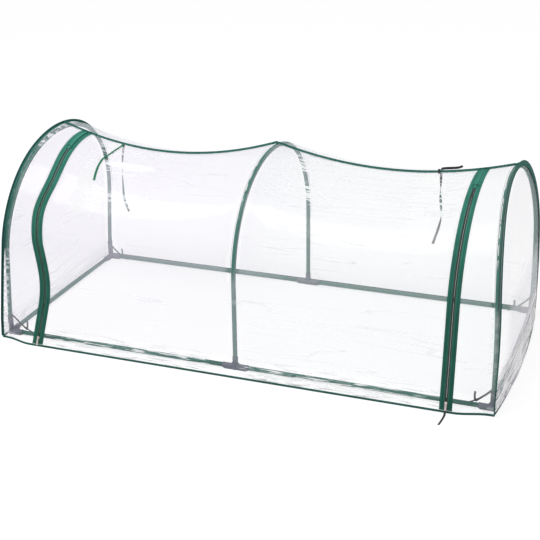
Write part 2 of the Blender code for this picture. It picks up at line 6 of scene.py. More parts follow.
import bmesh
import bpy
from mathutils import Matrix, Vector, noise
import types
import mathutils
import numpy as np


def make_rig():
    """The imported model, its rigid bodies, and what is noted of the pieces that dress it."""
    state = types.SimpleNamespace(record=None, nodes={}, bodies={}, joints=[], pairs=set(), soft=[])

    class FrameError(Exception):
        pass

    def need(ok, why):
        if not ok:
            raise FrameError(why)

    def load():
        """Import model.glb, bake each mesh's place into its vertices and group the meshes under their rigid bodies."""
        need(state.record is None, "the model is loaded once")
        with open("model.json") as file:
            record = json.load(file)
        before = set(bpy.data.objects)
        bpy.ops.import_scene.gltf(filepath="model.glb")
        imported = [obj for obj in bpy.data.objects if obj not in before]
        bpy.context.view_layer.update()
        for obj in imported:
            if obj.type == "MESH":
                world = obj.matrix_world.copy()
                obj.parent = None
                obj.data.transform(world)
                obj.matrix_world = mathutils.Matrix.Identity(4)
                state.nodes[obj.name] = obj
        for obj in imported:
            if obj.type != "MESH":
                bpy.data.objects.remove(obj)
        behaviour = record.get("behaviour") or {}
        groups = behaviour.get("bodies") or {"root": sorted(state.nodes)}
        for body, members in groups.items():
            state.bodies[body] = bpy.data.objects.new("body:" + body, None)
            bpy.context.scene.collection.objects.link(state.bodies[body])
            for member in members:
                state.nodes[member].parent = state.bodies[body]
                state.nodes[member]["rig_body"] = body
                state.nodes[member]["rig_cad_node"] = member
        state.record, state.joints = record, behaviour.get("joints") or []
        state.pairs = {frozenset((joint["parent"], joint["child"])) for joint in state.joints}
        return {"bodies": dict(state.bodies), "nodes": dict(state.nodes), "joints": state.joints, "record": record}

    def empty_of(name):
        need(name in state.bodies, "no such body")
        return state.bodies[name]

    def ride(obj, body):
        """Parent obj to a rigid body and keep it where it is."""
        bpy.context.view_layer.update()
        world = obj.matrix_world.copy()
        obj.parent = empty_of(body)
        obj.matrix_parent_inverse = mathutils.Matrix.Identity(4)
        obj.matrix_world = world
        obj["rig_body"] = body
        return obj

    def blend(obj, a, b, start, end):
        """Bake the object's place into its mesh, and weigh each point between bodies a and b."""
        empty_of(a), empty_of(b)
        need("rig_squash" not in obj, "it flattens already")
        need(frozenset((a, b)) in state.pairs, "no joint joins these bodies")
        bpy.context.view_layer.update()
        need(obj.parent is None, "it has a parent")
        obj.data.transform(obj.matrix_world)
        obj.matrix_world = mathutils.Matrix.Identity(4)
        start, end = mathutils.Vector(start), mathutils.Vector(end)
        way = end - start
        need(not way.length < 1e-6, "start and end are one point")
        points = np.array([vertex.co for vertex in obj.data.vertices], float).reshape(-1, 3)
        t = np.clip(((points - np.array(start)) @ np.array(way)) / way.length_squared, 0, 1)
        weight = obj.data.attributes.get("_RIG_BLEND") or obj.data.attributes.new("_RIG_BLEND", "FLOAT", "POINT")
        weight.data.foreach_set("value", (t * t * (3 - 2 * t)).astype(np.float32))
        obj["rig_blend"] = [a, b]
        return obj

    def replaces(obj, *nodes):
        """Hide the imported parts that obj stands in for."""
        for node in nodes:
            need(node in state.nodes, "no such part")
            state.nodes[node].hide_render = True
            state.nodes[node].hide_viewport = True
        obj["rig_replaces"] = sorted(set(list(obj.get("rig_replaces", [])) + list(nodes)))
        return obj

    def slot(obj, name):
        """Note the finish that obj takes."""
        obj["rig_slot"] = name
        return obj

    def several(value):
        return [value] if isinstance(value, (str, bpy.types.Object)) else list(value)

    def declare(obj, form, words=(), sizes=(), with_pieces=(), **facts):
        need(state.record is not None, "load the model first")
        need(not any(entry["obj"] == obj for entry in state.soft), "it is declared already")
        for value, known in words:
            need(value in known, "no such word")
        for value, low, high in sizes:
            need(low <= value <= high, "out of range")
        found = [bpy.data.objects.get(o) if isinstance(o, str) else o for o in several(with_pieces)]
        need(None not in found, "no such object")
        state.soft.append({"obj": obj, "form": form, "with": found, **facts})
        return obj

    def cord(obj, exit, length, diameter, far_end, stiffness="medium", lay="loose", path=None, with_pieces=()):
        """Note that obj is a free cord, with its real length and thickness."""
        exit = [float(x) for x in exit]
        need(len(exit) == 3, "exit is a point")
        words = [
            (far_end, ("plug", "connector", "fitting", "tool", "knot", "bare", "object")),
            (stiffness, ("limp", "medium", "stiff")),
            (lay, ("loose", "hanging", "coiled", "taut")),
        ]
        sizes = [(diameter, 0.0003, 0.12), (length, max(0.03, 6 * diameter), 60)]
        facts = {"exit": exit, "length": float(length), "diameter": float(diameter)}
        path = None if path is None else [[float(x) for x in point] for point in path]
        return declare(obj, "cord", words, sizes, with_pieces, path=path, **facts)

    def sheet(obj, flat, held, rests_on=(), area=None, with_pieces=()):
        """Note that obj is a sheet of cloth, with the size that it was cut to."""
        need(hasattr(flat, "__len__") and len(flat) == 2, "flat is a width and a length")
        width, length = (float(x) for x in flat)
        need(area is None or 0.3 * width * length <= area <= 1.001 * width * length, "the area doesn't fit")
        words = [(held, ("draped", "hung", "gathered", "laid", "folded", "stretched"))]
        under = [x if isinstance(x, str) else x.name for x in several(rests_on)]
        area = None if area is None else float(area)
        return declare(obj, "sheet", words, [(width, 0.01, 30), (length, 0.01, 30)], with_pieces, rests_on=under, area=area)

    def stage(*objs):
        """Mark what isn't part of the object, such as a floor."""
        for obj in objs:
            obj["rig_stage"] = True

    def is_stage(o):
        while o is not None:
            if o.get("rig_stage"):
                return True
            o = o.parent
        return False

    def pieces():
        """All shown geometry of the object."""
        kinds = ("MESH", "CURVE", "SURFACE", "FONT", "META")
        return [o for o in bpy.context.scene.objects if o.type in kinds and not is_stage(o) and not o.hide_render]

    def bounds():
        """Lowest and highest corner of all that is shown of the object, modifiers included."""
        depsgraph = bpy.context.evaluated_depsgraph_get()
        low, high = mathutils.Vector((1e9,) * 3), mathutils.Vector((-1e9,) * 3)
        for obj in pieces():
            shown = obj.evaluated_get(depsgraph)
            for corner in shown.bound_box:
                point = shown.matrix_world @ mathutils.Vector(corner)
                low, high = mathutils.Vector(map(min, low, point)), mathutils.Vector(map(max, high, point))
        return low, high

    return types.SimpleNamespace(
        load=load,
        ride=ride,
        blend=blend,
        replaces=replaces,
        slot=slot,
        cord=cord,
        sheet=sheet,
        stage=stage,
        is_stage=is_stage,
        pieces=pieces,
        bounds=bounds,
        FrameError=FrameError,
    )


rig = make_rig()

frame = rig.load()
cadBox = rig.bounds()
scene = bpy.context.scene
rightAngle = math.pi / 2
sides = ((-1, "Left"), (1, "Right"))

# The camera stands where the photograph was taken from
cameraSettings = {
    "place": (1.5644, -4.1764, 2.109),
    "yaw": 20.47,  # degrees to the left of straight ahead
    "pitch": 22.454,  # degrees down
    "roll": -0.685,
    "focalLength": 78.86,  # millimetres, for a sensor 36 wide
}


def makeCamera():
    yaw, pitch, roll = (math.radians(cameraSettings[k]) for k in ("yaw", "pitch", "roll"))
    ahead = Vector((-math.sin(yaw) * math.cos(pitch), math.cos(yaw) * math.cos(pitch), -math.sin(pitch)))
    right = Vector((math.cos(yaw), math.sin(yaw), 0))
    up = right.cross(ahead)
    rolledRight = right * math.cos(roll) + up * math.sin(roll)
    rolledUp = up * math.cos(roll) - right * math.sin(roll)
    lens = bpy.data.cameras.new("photoCamera")
    lens.lens = cameraSettings["focalLength"]
    camera = bpy.data.objects.new("photoCamera", lens)
    scene.collection.objects.link(camera)
    turn = Matrix((rolledRight, rolledUp, -ahead)).transposed().to_4x4()
    camera.matrix_world = Matrix.Translation(cameraSettings["place"]) @ turn
    scene.camera = camera


# Sizes of the tunnel's section, as its CAD parts have them, in metres
tunnel = {
    "middleY": 0.063,  # the tunnel's middle plane lies behind the middle of the whole, ribbon included
    "halfLength": 1.0,
    "halfWidth": 0.445,
    "railHeight": 0.0115,
    "springHeight": 0.355,  # where the legs start to bend
    "sideRadius": 0.40,
    "crownAngle": 20,  # degrees of flatter top, each side of the apex
    "jointAngle": 39,  # degrees from the apex to where leg and crown tubes meet
    "endLean": {-1: 0.045, 0: 0.0, 1: 0.05},  # the film draws the end hoops' tops inwards
    "leanPower": {-1: 1.1, 0: 1.0, 1: 2.5},  # the right one bends mostly near its top
    "leanStart": 0.08,
    "filmLift": 0.0113,  # tube's axis to the film
    "filmThickness": 0.0005,
    "endOffset": 0.0133,
    "sag": {-1: 0.083, 1: 0.067},  # depth of the film's sag along the ridge
    "frontFlare": 9.5,  # degrees of the front skirt off the vertical
    "frontFlareEnd": 5.5,
    "backFlare": 4,
    "flareFade": (0.87, 0.13),  # towards the ends: where along the tunnel, and over what length
    "endBulge": {-1: 0.006, 1: 0.028},  # the left end hangs nearly flat
    "endBulgeHeight": 0.42,  # up to where it bulges, and how quickly that fades
    "endBulgePower": 1.5,
    "hemHeight": 0.010,
    "seamY": 0.05,  # the door's seam, behind the apex
    "binding": 0.0024,  # thickness of a folded binding
}
middleY, halfLength, halfWidth = (tunnel[k] for k in ("middleY", "halfLength", "halfWidth"))
springHeight, sideRadius = tunnel["springHeight"], tunnel["sideRadius"]
crownAngle, jointAngle = math.radians(tunnel["crownAngle"]), math.radians(tunnel["jointAngle"])
crownRadius = (halfWidth - sideRadius * (1 - math.sin(crownAngle))) / math.sin(crownAngle)
crownCentre = springHeight + (sideRadius - crownRadius) * math.cos(crownAngle)
topHeight = crownCentre + crownRadius
bindingThickness = tunnel["binding"]


def mix(a, b, share):
    return a + (b - a) * share


def smooth(value):
    value = min(max(value, 0.0), 1.0)
    return value * value * (3 - 2 * value)


# 0 up to start, and from there rising to 1 over a span
def rising(value, start, span):
    return smooth((value - start) / span)


# 1 down to 0 at an end, falling over a span before it
def falling(value, end, span):
    return smooth((end - value) / span)


def steps(first, last, count):
    return [mix(first, last, i / count) for i in range(count + 1)]


# (y from the middle plane, z) on a hoop's bend: turn is from the apex, positive to the back
def arch(turn, lift=0.0):
    if abs(turn) <= crownAngle:
        radius = crownRadius + lift
        return radius * math.sin(turn), crownCentre + radius * math.cos(turn)
    radius = sideRadius + lift
    centre = math.copysign(halfWidth - sideRadius, turn)
    return centre + radius * math.sin(turn), springHeight + radius * math.cos(turn)


def hoopX(side, height):
    free = max(height - tunnel["leanStart"], 0.0) / (topHeight - tunnel["leanStart"])
    return side * (halfLength - tunnel["endLean"][side] * free ** tunnel["leanPower"][side])


def flare(x, back):
    if back:
        return math.radians(tunnel["backFlare"])
    fade = rising(abs(x), *tunnel["flareFade"])
    return math.radians(mix(tunnel["frontFlare"], tunnel["frontFlareEnd"], fade))


# A point of the film and its outward normal across the tunnel. station runs over the section: -2 is the
# front hem, -1 where the film leaves the hoop, 0 the apex, 1 and 2 the same behind
def film(x, station, lift=0.0):
    sign = 1 if station > 0 else -1
    side = 1 if x > 0 else -1
    slope = flare(x, station > 0)
    turn = sign * min(abs(station), 1.0) * (rightAngle - slope)
    y, z = arch(turn, tunnel["filmLift"])
    share = min(abs(x) / abs(hoopX(side, z)), 1.0)
    normal = Vector((0, math.sin(turn), math.cos(turn)))
    sag = tunnel["sag"][side] * 4 * share * (1 - share) * math.cos(turn)
    point = Vector((x, y + middleY, z)) - normal * sag
    if abs(station) > 1:
        down = Vector((x, y + middleY + sign * z * math.tan(slope), 0)) - point
        point += down * (abs(station) - 1)
        normal = Vector((0, -sign * down.z, sign * down.y)).normalized()
    return point + normal * lift, normal


# A point of the film that stays above the hem binding
def cover(x, station, lift=0.0):
    leave = film(x, math.copysign(1, station))[0]
    most = 2 - tunnel["hemHeight"] / leave.z
    return film(x, math.copysign(min(abs(station), most), station), lift)[0]


seamStation = math.asin(tunnel["seamY"] / (crownRadius + tunnel["filmLift"]))
seamStation /= rightAngle - math.radians(tunnel["backFlare"])
seamGap = bindingThickness / crownRadius / rightAngle


# Stations of a fine section: close over the hoop, where the film bends, and wider on the skirts
def stations(first, last, bend=34, skirt=14):
    half = steps(0, 1, bend) + steps(1, 2, skirt)[1:]
    wanted = [-s for s in half[:0:-1]] + half
    return [first] + [s for s in wanted if first + 0.01 < s < last - 0.01] + [last]


def edgeHeight(side, station):
    return cover(side * halfLength, station).z


def endX(side, height):
    return hoopX(side, height) + side * tunnel["endOffset"]


# A point of the film's section at an end arch, in the plane of its end sheet
def archPoint(side, station, lift):
    point = cover(side * (halfLength + tunnel["endOffset"]), station, lift)
    point.x = endX(side, edgeHeight(side, station))
    return point


# How far along a path each of its points lies
def runs(path):
    return list(accumulate(((b - a).length for a, b in zip(path, path[1:])), initial=0.0))


# Meshes: a loft lays faces through rows of points; as a ring it closes each row and caps its ends. Its map
# "run" has the metres along in U and the share of the way across or round in V
def loft(name, rows, look, ring=False):
    count = len(rows[0])
    along = runs([sum(row, Vector()) / count for row in rows])
    across = runs(rows[0] + rows[0][:1] * ring)
    whole = across[-1]
    faces, places = [], []
    for r in range(len(rows) - 1):
        for c in range(count if ring else count - 1):
            n = (c + 1) % count
            faces.append((r * count + c, r * count + n, (r + 1) * count + n, (r + 1) * count + c))
            v, w = across[c] / whole, across[c + 1] / whole
            places += [(along[r], v), (along[r], w), (along[r + 1], w), (along[r + 1], v)]
    if ring:
        last = (len(rows) - 1) * count
        faces += [tuple(range(count - 1, -1, -1)), tuple(range(last, last + count))]
        places += [(along[0], 0.25)] * count + [(along[-1], 0.25)] * count
    mesh = bpy.data.meshes.new(name)
    mesh.from_pydata([point for row in rows for point in row], [], faces)
    layer = mesh.uv_layers.new(name="run")
    layer.uv.foreach_set("vector", [value for place in places for value in place])
    if ring and sum(face.center.dot(face.normal) * face.area for face in mesh.polygons) < 0:
        mesh.flip_normals()
    mesh.shade_smooth()
    mesh.set_sharp_from_angle(angle=math.radians(50))
    return dress(bpy.data.objects.new(name, mesh), look)


def dress(piece, look):
    scene.collection.objects.link(piece)
    if look is not None:
        piece.data.materials.append(look)
    return piece


def directions(path):
    last = len(path) - 1
    return [(path[min(i + 1, last)] - path[max(i - 1, 0)]).normalized() for i in range(last + 1)]


# outlines holds a section's points for each row: the first number lies along the way, the second square to
# way and path
def sweep(name, path, ways, outlines, look):
    rows = []
    for point, way, along, outline in zip(path, ways, directions(path), outlines):
        raised = way.cross(along).normalized()
        rows.append([point + way * a + raised * b for a, b in outline])
    return loft(name, rows, look, ring=True)


# The section of a flat tape with round edges, from the middle of one edge all the way round
def tapeOutline(width, thickness):
    radius = thickness / 2
    flat = width / 2 - radius
    ring = []
    for degrees in (0, 45, 90, 90, 135, 180, 225, 270, 270, 315):
        angle = math.radians(degrees)
        middle = flat if len(ring) < 3 or len(ring) > 7 else -flat
        ring.append((middle + radius * math.cos(angle), radius * math.sin(angle)))
    return ring


# The section of a tape folded over the film's edge: thin where it is stitched, round at the fold
def foldOutline(height, thickness):
    half = thickness / 2
    shape = ((-0.5, 0.0), (-0.5, 0.45), (-0.2, 0.62), (0.2, 0.95), (0.4, 0.8), (0.48, 0.4), (0.5, 0.0))
    right = [(a * height, b * half) for a, b in shape]
    return right + [(a, -b) for a, b in right[-2:0:-1]]


# A smooth path through points, with parts short steps between each two
def through(points, parts):
    points = [Vector(p) for p in points]
    ends = [points[0] * 2 - points[1]] + points + [points[-1] * 2 - points[-2]]
    path = []
    for a, b, c, d in zip(ends, ends[1:], ends[2:], ends[3:]):
        for i in range(parts):
            t = i / parts
            path.append(
                0.5 * (2 * b + (c - a) * t + (2 * a - 5 * b + 4 * c - d) * t**2 + (3 * b - a - 3 * c + d) * t**3)
            )
    return path + [points[-1]]


# The door's film and tapes bend just in front of its seam when the door is lifted
bendZone = {"start": (0, middleY + tunnel["seamY"] - 0.004, 0.775), "end": (0, middleY - 0.07, 0.775)}


# Puts a piece on a body, or bends it between the frame and the door, and names the CAD nodes that it replaces
def place(piece, body, slot, *nodes):
    if body == "bending":
        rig.blend(piece, "frame", "door", start=bendZone["start"], end=bendZone["end"])
    else:
        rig.ride(piece, body)
    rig.slot(piece, slot)
    if nodes:
        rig.replaces(piece, *nodes)


def linearColour(hexColour):
    parts = [int(hexColour[i : i + 2], 16) / 255 for i in (1, 3, 5)]
    return tuple(p / 12.92 if p <= 0.04045 else ((p + 0.055) / 1.055) ** 2.4 for p in parts) + (1.0,)


# Adds a node. sockets holds links, numbers and hex colours, by each socket's name or in their order. It gives
# back the node's first output
def addNode(look, kind, sockets=(), **settings):
    tree = look.node_tree
    made = tree.nodes.new("ShaderNode" + kind)
    for name, value in settings.items():
        setattr(made, name, value)
    for socket, value in sockets.items() if isinstance(sockets, dict) else enumerate(sockets):
        if isinstance(value, bpy.types.NodeSocket):
            tree.links.new(value, made.inputs[socket])
        else:
            made.inputs[socket].default_value = linearColour(value) if isinstance(value, str) else value
    return next(output for output in made.outputs if output.enabled)


def newLook(name, **values):
    look = bpy.data.materials.new(name)
    look.use_nodes = True
    shader = look.node_tree.nodes["Principled BSDF"]
    for socket, value in values.items():
        shader.inputs[socket.replace("_", " ")].default_value = value
    return look, shader, partial(addNode, look)


def feed(shader, **sources):
    for socket, source in sources.items():
        shader.id_data.links.new(source, shader.inputs[socket.replace("_", " ")])


def perMetre(millimetres):
    return 1000 / millimetres


# A finish whose tone and gloss vary in clouds, with a fine grain. Each noise has its size in millimetres, its
# detail and its distortion; roughness names the noise that it follows
def mottledFinish(name, given, **values):
    look, shader, add = newLook(name, **values)
    where = add("TexCoord").node.outputs["Object"]
    noises = {}
    for key, (size, detail, bend) in given["noises"].items():
        noises[key] = add("TexNoise", {"Vector": where, "Scale": perMetre(size), "Detail": detail, "Distortion": bend})
    dark, light = given["tones"]
    colour = add("Mix", {"Factor": noises["cloud"], "A": dark, "B": light}, data_type="RGBA")
    if "rubbed" in given:
        tone, *limits = given["rubbed"]
        rubbed = add("MapRange", (noises["marks"], *limits))
        colour = add("Mix", {"Factor": rubbed, "A": colour, "B": tone}, data_type="RGBA")
    followed, low, high = given["roughness"]
    feed(shader, Base_Color=colour, Roughness=add("MapRange", (noises[followed], 0, 1, low, high)))
    if "bump" in given:
        source, strength, depth = given["bump"]
        feed(shader, Normal=add("Bump", {"Height": noises[source], "Strength": strength, "Distance": depth}))
    return look


# Polyester powder coating, sprayed and baked on steel tube: an even satin green with a fine orange peel and a
# few paler rubbed marks
coatingSettings = {
    "tones": ("#125A4D", "#1C7463"),
    "noises": {
        "cloud": (90, 3, 0),
        "peel": (3.0, 1, 0),  # really 0.8, drawn coarser to show
        "marks": (5.0, 6, 0),
    },
    "rubbed": ("#5E9C88", 0.62, 0.74, 0, 0.55),  # tone, limits of the noise, least and most share
    "roughness": ("cloud", 0.26, 0.42),
    "bump": ("peel", 0.12, 0.0004),
}

# Polypropylene, injection moulded in a spark-eroded mould: a dull violet grey with faint flow marks
connectorSettings = {
    "tones": ("#515865", "#6C7380"),
    "noises": {
        "cloud": (22, 4, 1.2),
        "grain": (1.6, 2, 0),  # really 0.3, drawn coarser to show
    },
    "roughness": ("grain", 0.38, 0.55),
    "bump": ("grain", 0.35, 0.0003),
}

# Nylon monofilament, dyed and wound into a zip's coil: smooth, slightly glossy, its tone and gloss varying in clouds
nylonSettings = {"noises": {"cloud": (35, 4, 0)}, "roughness": ("cloud", 0.45, 0.65)}

# Zinc alloy, die cast, tumbled and nickel plated: bright and faintly pink, with fine random scratches
platingSettings = {
    "tones": ("#A89E9C", "#E2D5D1"),
    "noises": {"cloud": (6, 5, 1.5)},
    "roughness": ("cloud", 0.16, 0.42),
    "bump": ("cloud", 0.2, 0.0002),
}

filmSettings = {
    "glint": "#FFFFFF",
    "shade": "#827E99",
    "edgeShade": "#45625B",
    "toneFrom": -0.35,  # metres along the tunnel between which the film's tone changes, painted paler to the right for the light there
    "toneTo": 0.30,
    # patterns drawn out along the way that the film is stretched: millimetres across and along it, and a shift
    "patterns": {
        "crease": (60, 900, 0),
        "band": (13, 420, 4),
        "smear": (5, 85, 7),
    },
    # each noise's pattern, size in millimetres, detail and distortion
    "noises": {
        "wave": ("crease", 1000, 1.5, 0.3),  # long fine creases
        "patch": ("", 420, 2, 0),  # areas where the creases show more or less painted glint
        "ripple": ("band", 1000, 1, 0.2),  # flat ripples that mirror the lamps
        "drawn": ("smear", 1000, 1.5, 0.2),  # painted glinting streaks where the film is drawn along a ground rail
        "bent": ("", 18, 2, 0),
        "spots": ("", 4, 2, 1.5),
        "broken": ("", 45, 1, 0),
    },
    "creased": (0.52, 0.62, 0, 0.3),  # painted glints along the creases: limits of the patch noise, least and most share
    "creaseWidth": 0.007,  # how far from a noise's middle value its crease line reaches
    # limits of a noise for shards of painted glint, shards of painted grey shade, glinting specks and gaps in a glint
    "bright": (0.62, 0.66),
    "grey": (0.26, 0.22),
    "speckled": (0.58, 0.62),
    "gapped": (0.46, 0.50),
    # the same for the other glints
    "glints": {
        "bands": (0.53, 0.57),
        "glare": (0.36, 0.46),
        "smear": (0.56, 0.60),
        "crumple": (0, 1),
        "streak": (0, 1),
    },
    # the painted glint along a hoop, and the dark lines of painted shade where the film leaves it: middle and half
    # width in metres
    "hoopLine": (-0.0026, 0.0013),
    "hoopEdge": (0.0098, 0.0010),
    "hoopSoft": (0.7, 0.6),  # share of that half width at which the glint and a dark line start to fade
    "edgeAlpha": 0.6,  # what a dark line hides at most, and the heights between which it starts
    "edgeHeights": (0.34, 0.42),
    "glintAlpha": 0.9,
    "roughness": (0.08, 0.4),
    "bump": (0.1, 0.003),
}
# each film's tones on the left and right, its crumpled shards' size and shift, how jagged they are, and how much their
# painted grey shade hides
# the cover film's right tone is painted paler and less violet, standing in for how the light falls there
coverFilmSettings = {"tints": ("#EAE6F3", "#EDF1F5"), "shard": (9, 30, 2), "jag": 1.0, "shardAlpha": 0.12}
endFilmSettings = {"tints": ("#F1EDF8", "#F0ECF8"), "shard": (6, 170, 2), "jag": 0.25, "shardAlpha": 0.55}
filmValues = ("haze", "crumple", "smear", "bands", "streak", "glare", "offHoop")


# Clear PVC, calendered to thin film and folded for packing: glossy, with a faint violet haze, long fine
# creases, and crumpled places and ripples that break up whatever is behind them with painted white glints
# and painted grey shade
def clearVinylFilm(name, stretch, own):
    look, shader, add = newLook(name, IOR=1.53)
    where = add("TexCoord").node.outputs["Object"]
    given = {key: add("Attribute", attribute_name=key).node.outputs["Fac"] for key in filmValues}
    laid = {"": where}
    for key, (across, along, shift) in {**filmSettings["patterns"], "shard": own["shard"]}.items():
        scale = [perMetre(along if axis == stretch else across) for axis in "xyz"]
        laid[key] = add("Mapping", {"Vector": where, "Scale": scale, "Location": (shift, 0, 0)})
    noises = {}
    for key, (pattern, size, detail, bend) in filmSettings["noises"].items():
        sockets = {"Vector": laid[pattern], "Scale": perMetre(size), "Detail": detail, "Distortion": bend}
        noises[key] = add("TexNoise", sockets)

    lineAt, lineHalf = filmSettings["hoopLine"]
    edgeAt, edgeHalf = filmSettings["hoopEdge"]
    beside = add("Math", (given["offHoop"],), operation="ABSOLUTE")
    gaps = []
    for value, middle in ((noises["wave"], 0.5), (given["offHoop"], lineAt), (beside, edgeAt)):
        off = add("Math", (value, middle), operation="SUBTRACT")
        gaps.append(add("Math", (off,), operation="ABSOLUTE"))
    fromCrease, fromLine, fromEdge = gaps

    # crumpled shards, some with painted glints and some with painted grey shade, with glinting specks among them
    jag = (own["jag"],) * 3
    bent = noises["bent"].node.outputs["Color"]
    moved = add("VectorMath", (bent, jag, laid["shard"]), operation="MULTIPLY_ADD")
    cell = add("TexVoronoi", {"Vector": moved, "Scale": 1.0}).node.outputs["Color"]
    shard = add("SeparateColor", {"Color": cell})
    shining = add("MapRange", (shard, *filmSettings["bright"]))
    speckled = add("MapRange", (noises["spots"], *filmSettings["speckled"]))
    bright = add("Math", (shining, speckled), operation="MAXIMUM")
    dull = add("MapRange", (shard, *filmSettings["grey"]))
    grey = add("Math", (dull, given["crumple"]), operation="MULTIPLY")

    # the painted glint along a hoop, broken here and there, and the dark lines of painted shade beside it
    lineSoft, edgeSoft = filmSettings["hoopSoft"]
    line = add("MapRange", (fromLine, lineHalf * lineSoft, lineHalf, 1, 0))
    gapped = add("MapRange", (noises["broken"], *filmSettings["gapped"]))
    lined = add("Math", (line, gapped), operation="MULTIPLY")
    raised = add("SeparateXYZ", {"Vector": where}).node.outputs
    dark = add("MapRange", (fromEdge, edgeHalf * edgeSoft, edgeHalf, filmSettings["edgeAlpha"], 0))
    above = add("MapRange", (raised["Z"], *filmSettings["edgeHeights"]))
    edge = add("Math", (dark, above), operation="MULTIPLY")

    # painted white glints: the creases' lines and each pattern's bright part, as strong as the sheet says at that
    # place
    creaseLine = add("MapRange", (fromCrease, 0, filmSettings["creaseWidth"], 1, 0))
    creasedArea = add("MapRange", (noises["patch"], *filmSettings["creased"]))
    glint = add("Math", (creaseLine, creasedArea), operation="MULTIPLY")
    patterns = (noises["ripple"], noises["ripple"], noises["drawn"], bright, lined)
    for (key, limits), pattern in zip(filmSettings["glints"].items(), patterns):
        shown = add("MapRange", (pattern, *limits))
        part = add("Math", (shown, given[key]), operation="MULTIPLY")
        glint = add("Math", (glint, part), operation="MAXIMUM", use_clamp=True)

    tint, farTint = own["tints"]
    toTheRight = add("MapRange", (raised["X"], filmSettings["toneFrom"], filmSettings["toneTo"]))
    colour = add("Mix", {"Factor": toTheRight, "A": tint, "B": farTint}, data_type="RGBA")
    for factor, tone in ((grey, "shade"), (edge, "edgeShade"), (glint, "glint")):
        colour = add("Mix", {"Factor": factor, "A": colour, "B": filmSettings[tone]}, data_type="RGBA")
    hidden = add("Math", (glint, filmSettings["glintAlpha"], given["haze"]), operation="MULTIPLY_ADD")
    darkened = add("Math", (grey, own["shardAlpha"], hidden), operation="MULTIPLY_ADD")
    alpha = add("Math", (darkened, edge), operation="MAXIMUM", use_clamp=True)
    gloss = add("MapRange", (glint, 0, 1, *filmSettings["roughness"]))
    strength, depth = filmSettings["bump"]
    bump = add("Bump", {"Height": noises["wave"], "Strength": strength, "Distance": depth})
    feed(shader, Base_Color=colour, Alpha=alpha, Roughness=gloss, Normal=bump)
    return look


tapeSettings = {
    "thread": 0.0016,  # metres between weft threads; really 0.5 mm, drawn coarser to show
    "ribs": 14,  # warp ribs from edge to edge
    "stitch": 0.0042,  # length of a stitch and its gap
    "stitchFrom": -0.35,  # a stitch shows where its sine wave is above this
    "seamHalf": 0.02,  # half a seam's width, as a share of the tape's
    "threadGreen": "#3F8068",
    "cloud": 60,  # millimetres
    "weave": 0.12,  # how much of the weave shows in the colour
    "contrast": (0.05, 0.5),  # shades that become the darkest and the lightest tone
    "paintedTopLight": (0.35, 0.74, 0, 0.8),  # heights between which the tape is painted paler, as if lit from above, least and most share
    "bump": (0.6, 0.0003),
}


# Polyester tape, woven: dull, with warp ribs along it, stitched lines, darker and lighter stripes where the ribs catch
# the light, and a paler tone painted towards the ridge for the light from above
def wovenTape(name, greens, stripes, seams=(), under=None, core=None):
    look, shader, add = newLook(name, IOR=1.5, Specular_IOR_Level=0.15, Roughness=0.8)
    light, dark, pale = greens
    run = add("SeparateXYZ", {"Vector": add("UVMap", uv_map="run")}).node.outputs
    along, around = run["X"], run["Y"]
    # 0 on the edge where the outline starts, 1 on the other edge
    off = add("Math", (around, 0.5), operation="SUBTRACT")
    inwards = add("Math", (add("Math", (off,), operation="ABSOLUTE"), -2, 1), operation="MULTIPLY_ADD")
    threads = []
    for value, rate in ((along, 1 / tapeSettings["thread"]), (inwards, tapeSettings["ribs"])):
        turns = add("Math", (value, math.tau * rate), operation="MULTIPLY")
        threads.append(add("Math", (turns,), operation="SINE"))
    weave = add("Math", threads, operation="MULTIPLY")
    where = add("TexCoord").node.outputs["Object"]
    cloud = add("TexNoise", {"Vector": where, "Scale": perMetre(tapeSettings["cloud"]), "Detail": 3})
    ramp = add("ValToRGB", {"Fac": inwards})
    stops = ramp.node.color_ramp.elements
    for number, (at, share) in enumerate(stripes):
        stop = stops[number] if number < 2 else stops.new(at)
        stop.position = at
        stop.color = (share, share, share, 1)
    shade = add("Math", (ramp, cloud), operation="MULTIPLY")
    lifted = add("Math", (weave, tapeSettings["weave"], shade), operation="MULTIPLY_ADD")
    even = add("MapRange", (lifted, *tapeSettings["contrast"]))
    # painted light: the tones shift paler with height, as if lit from above
    height = add("SeparateXYZ", {"Vector": where}).node.outputs["Z"]
    high = add("MapRange", (height, *tapeSettings["paintedTopLight"]))
    tones = [add("Mix", {"Factor": high, "A": a, "B": b}, data_type="RGBA") for a, b in ((dark, light), (light, pale))]
    colour = add("Mix", {"Factor": even, "A": tones[0], "B": tones[1]}, data_type="RGBA")
    layers = []
    # painted shade: the back half of the section, which shows where the tape twists, is painted dark grey
    if under:
        layers.append((add("Math", (around, 0.5), operation="GREATER_THAN"), under))
    if core:
        # painted shade: the tape's edge under the coil is darkened, up to where the coil ends
        tone, start, end = core
        inner = add("Math", (inwards, start), operation="GREATER_THAN")
        below = add("Math", (along, end), operation="LESS_THAN")
        layers.append((add("Math", (inner, below), operation="MULTIPLY"), tone))
    if seams:
        turns = add("Math", (along, math.tau / tapeSettings["stitch"]), operation="MULTIPLY")
        stitch = add("Math", (turns,), operation="SINE")
        sewn = add("Math", (stitch, tapeSettings["stitchFrom"]), operation="GREATER_THAN")
        nearest = 1.0
        for seam in seams:
            away = add("Math", (add("Math", (inwards, seam), operation="SUBTRACT"),), operation="ABSOLUTE")
            nearest = add("Math", (away, nearest), operation="MINIMUM")
        close = add("Math", (nearest, tapeSettings["seamHalf"]), operation="LESS_THAN")
        thread = add("Math", (sewn, close), operation="MULTIPLY")
        layers.append((thread, tapeSettings["threadGreen"]))
        weave = add("Math", (thread, 2.0, weave), operation="MULTIPLY_ADD")
    for factor, tone in layers:
        colour = add("Mix", {"Factor": factor, "A": colour, "B": tone}, data_type="RGBA")
    strength, depth = tapeSettings["bump"]
    feed(shader, Base_Color=colour, Normal=add("Bump", {"Height": weave, "Strength": strength, "Distance": depth}))
    return look


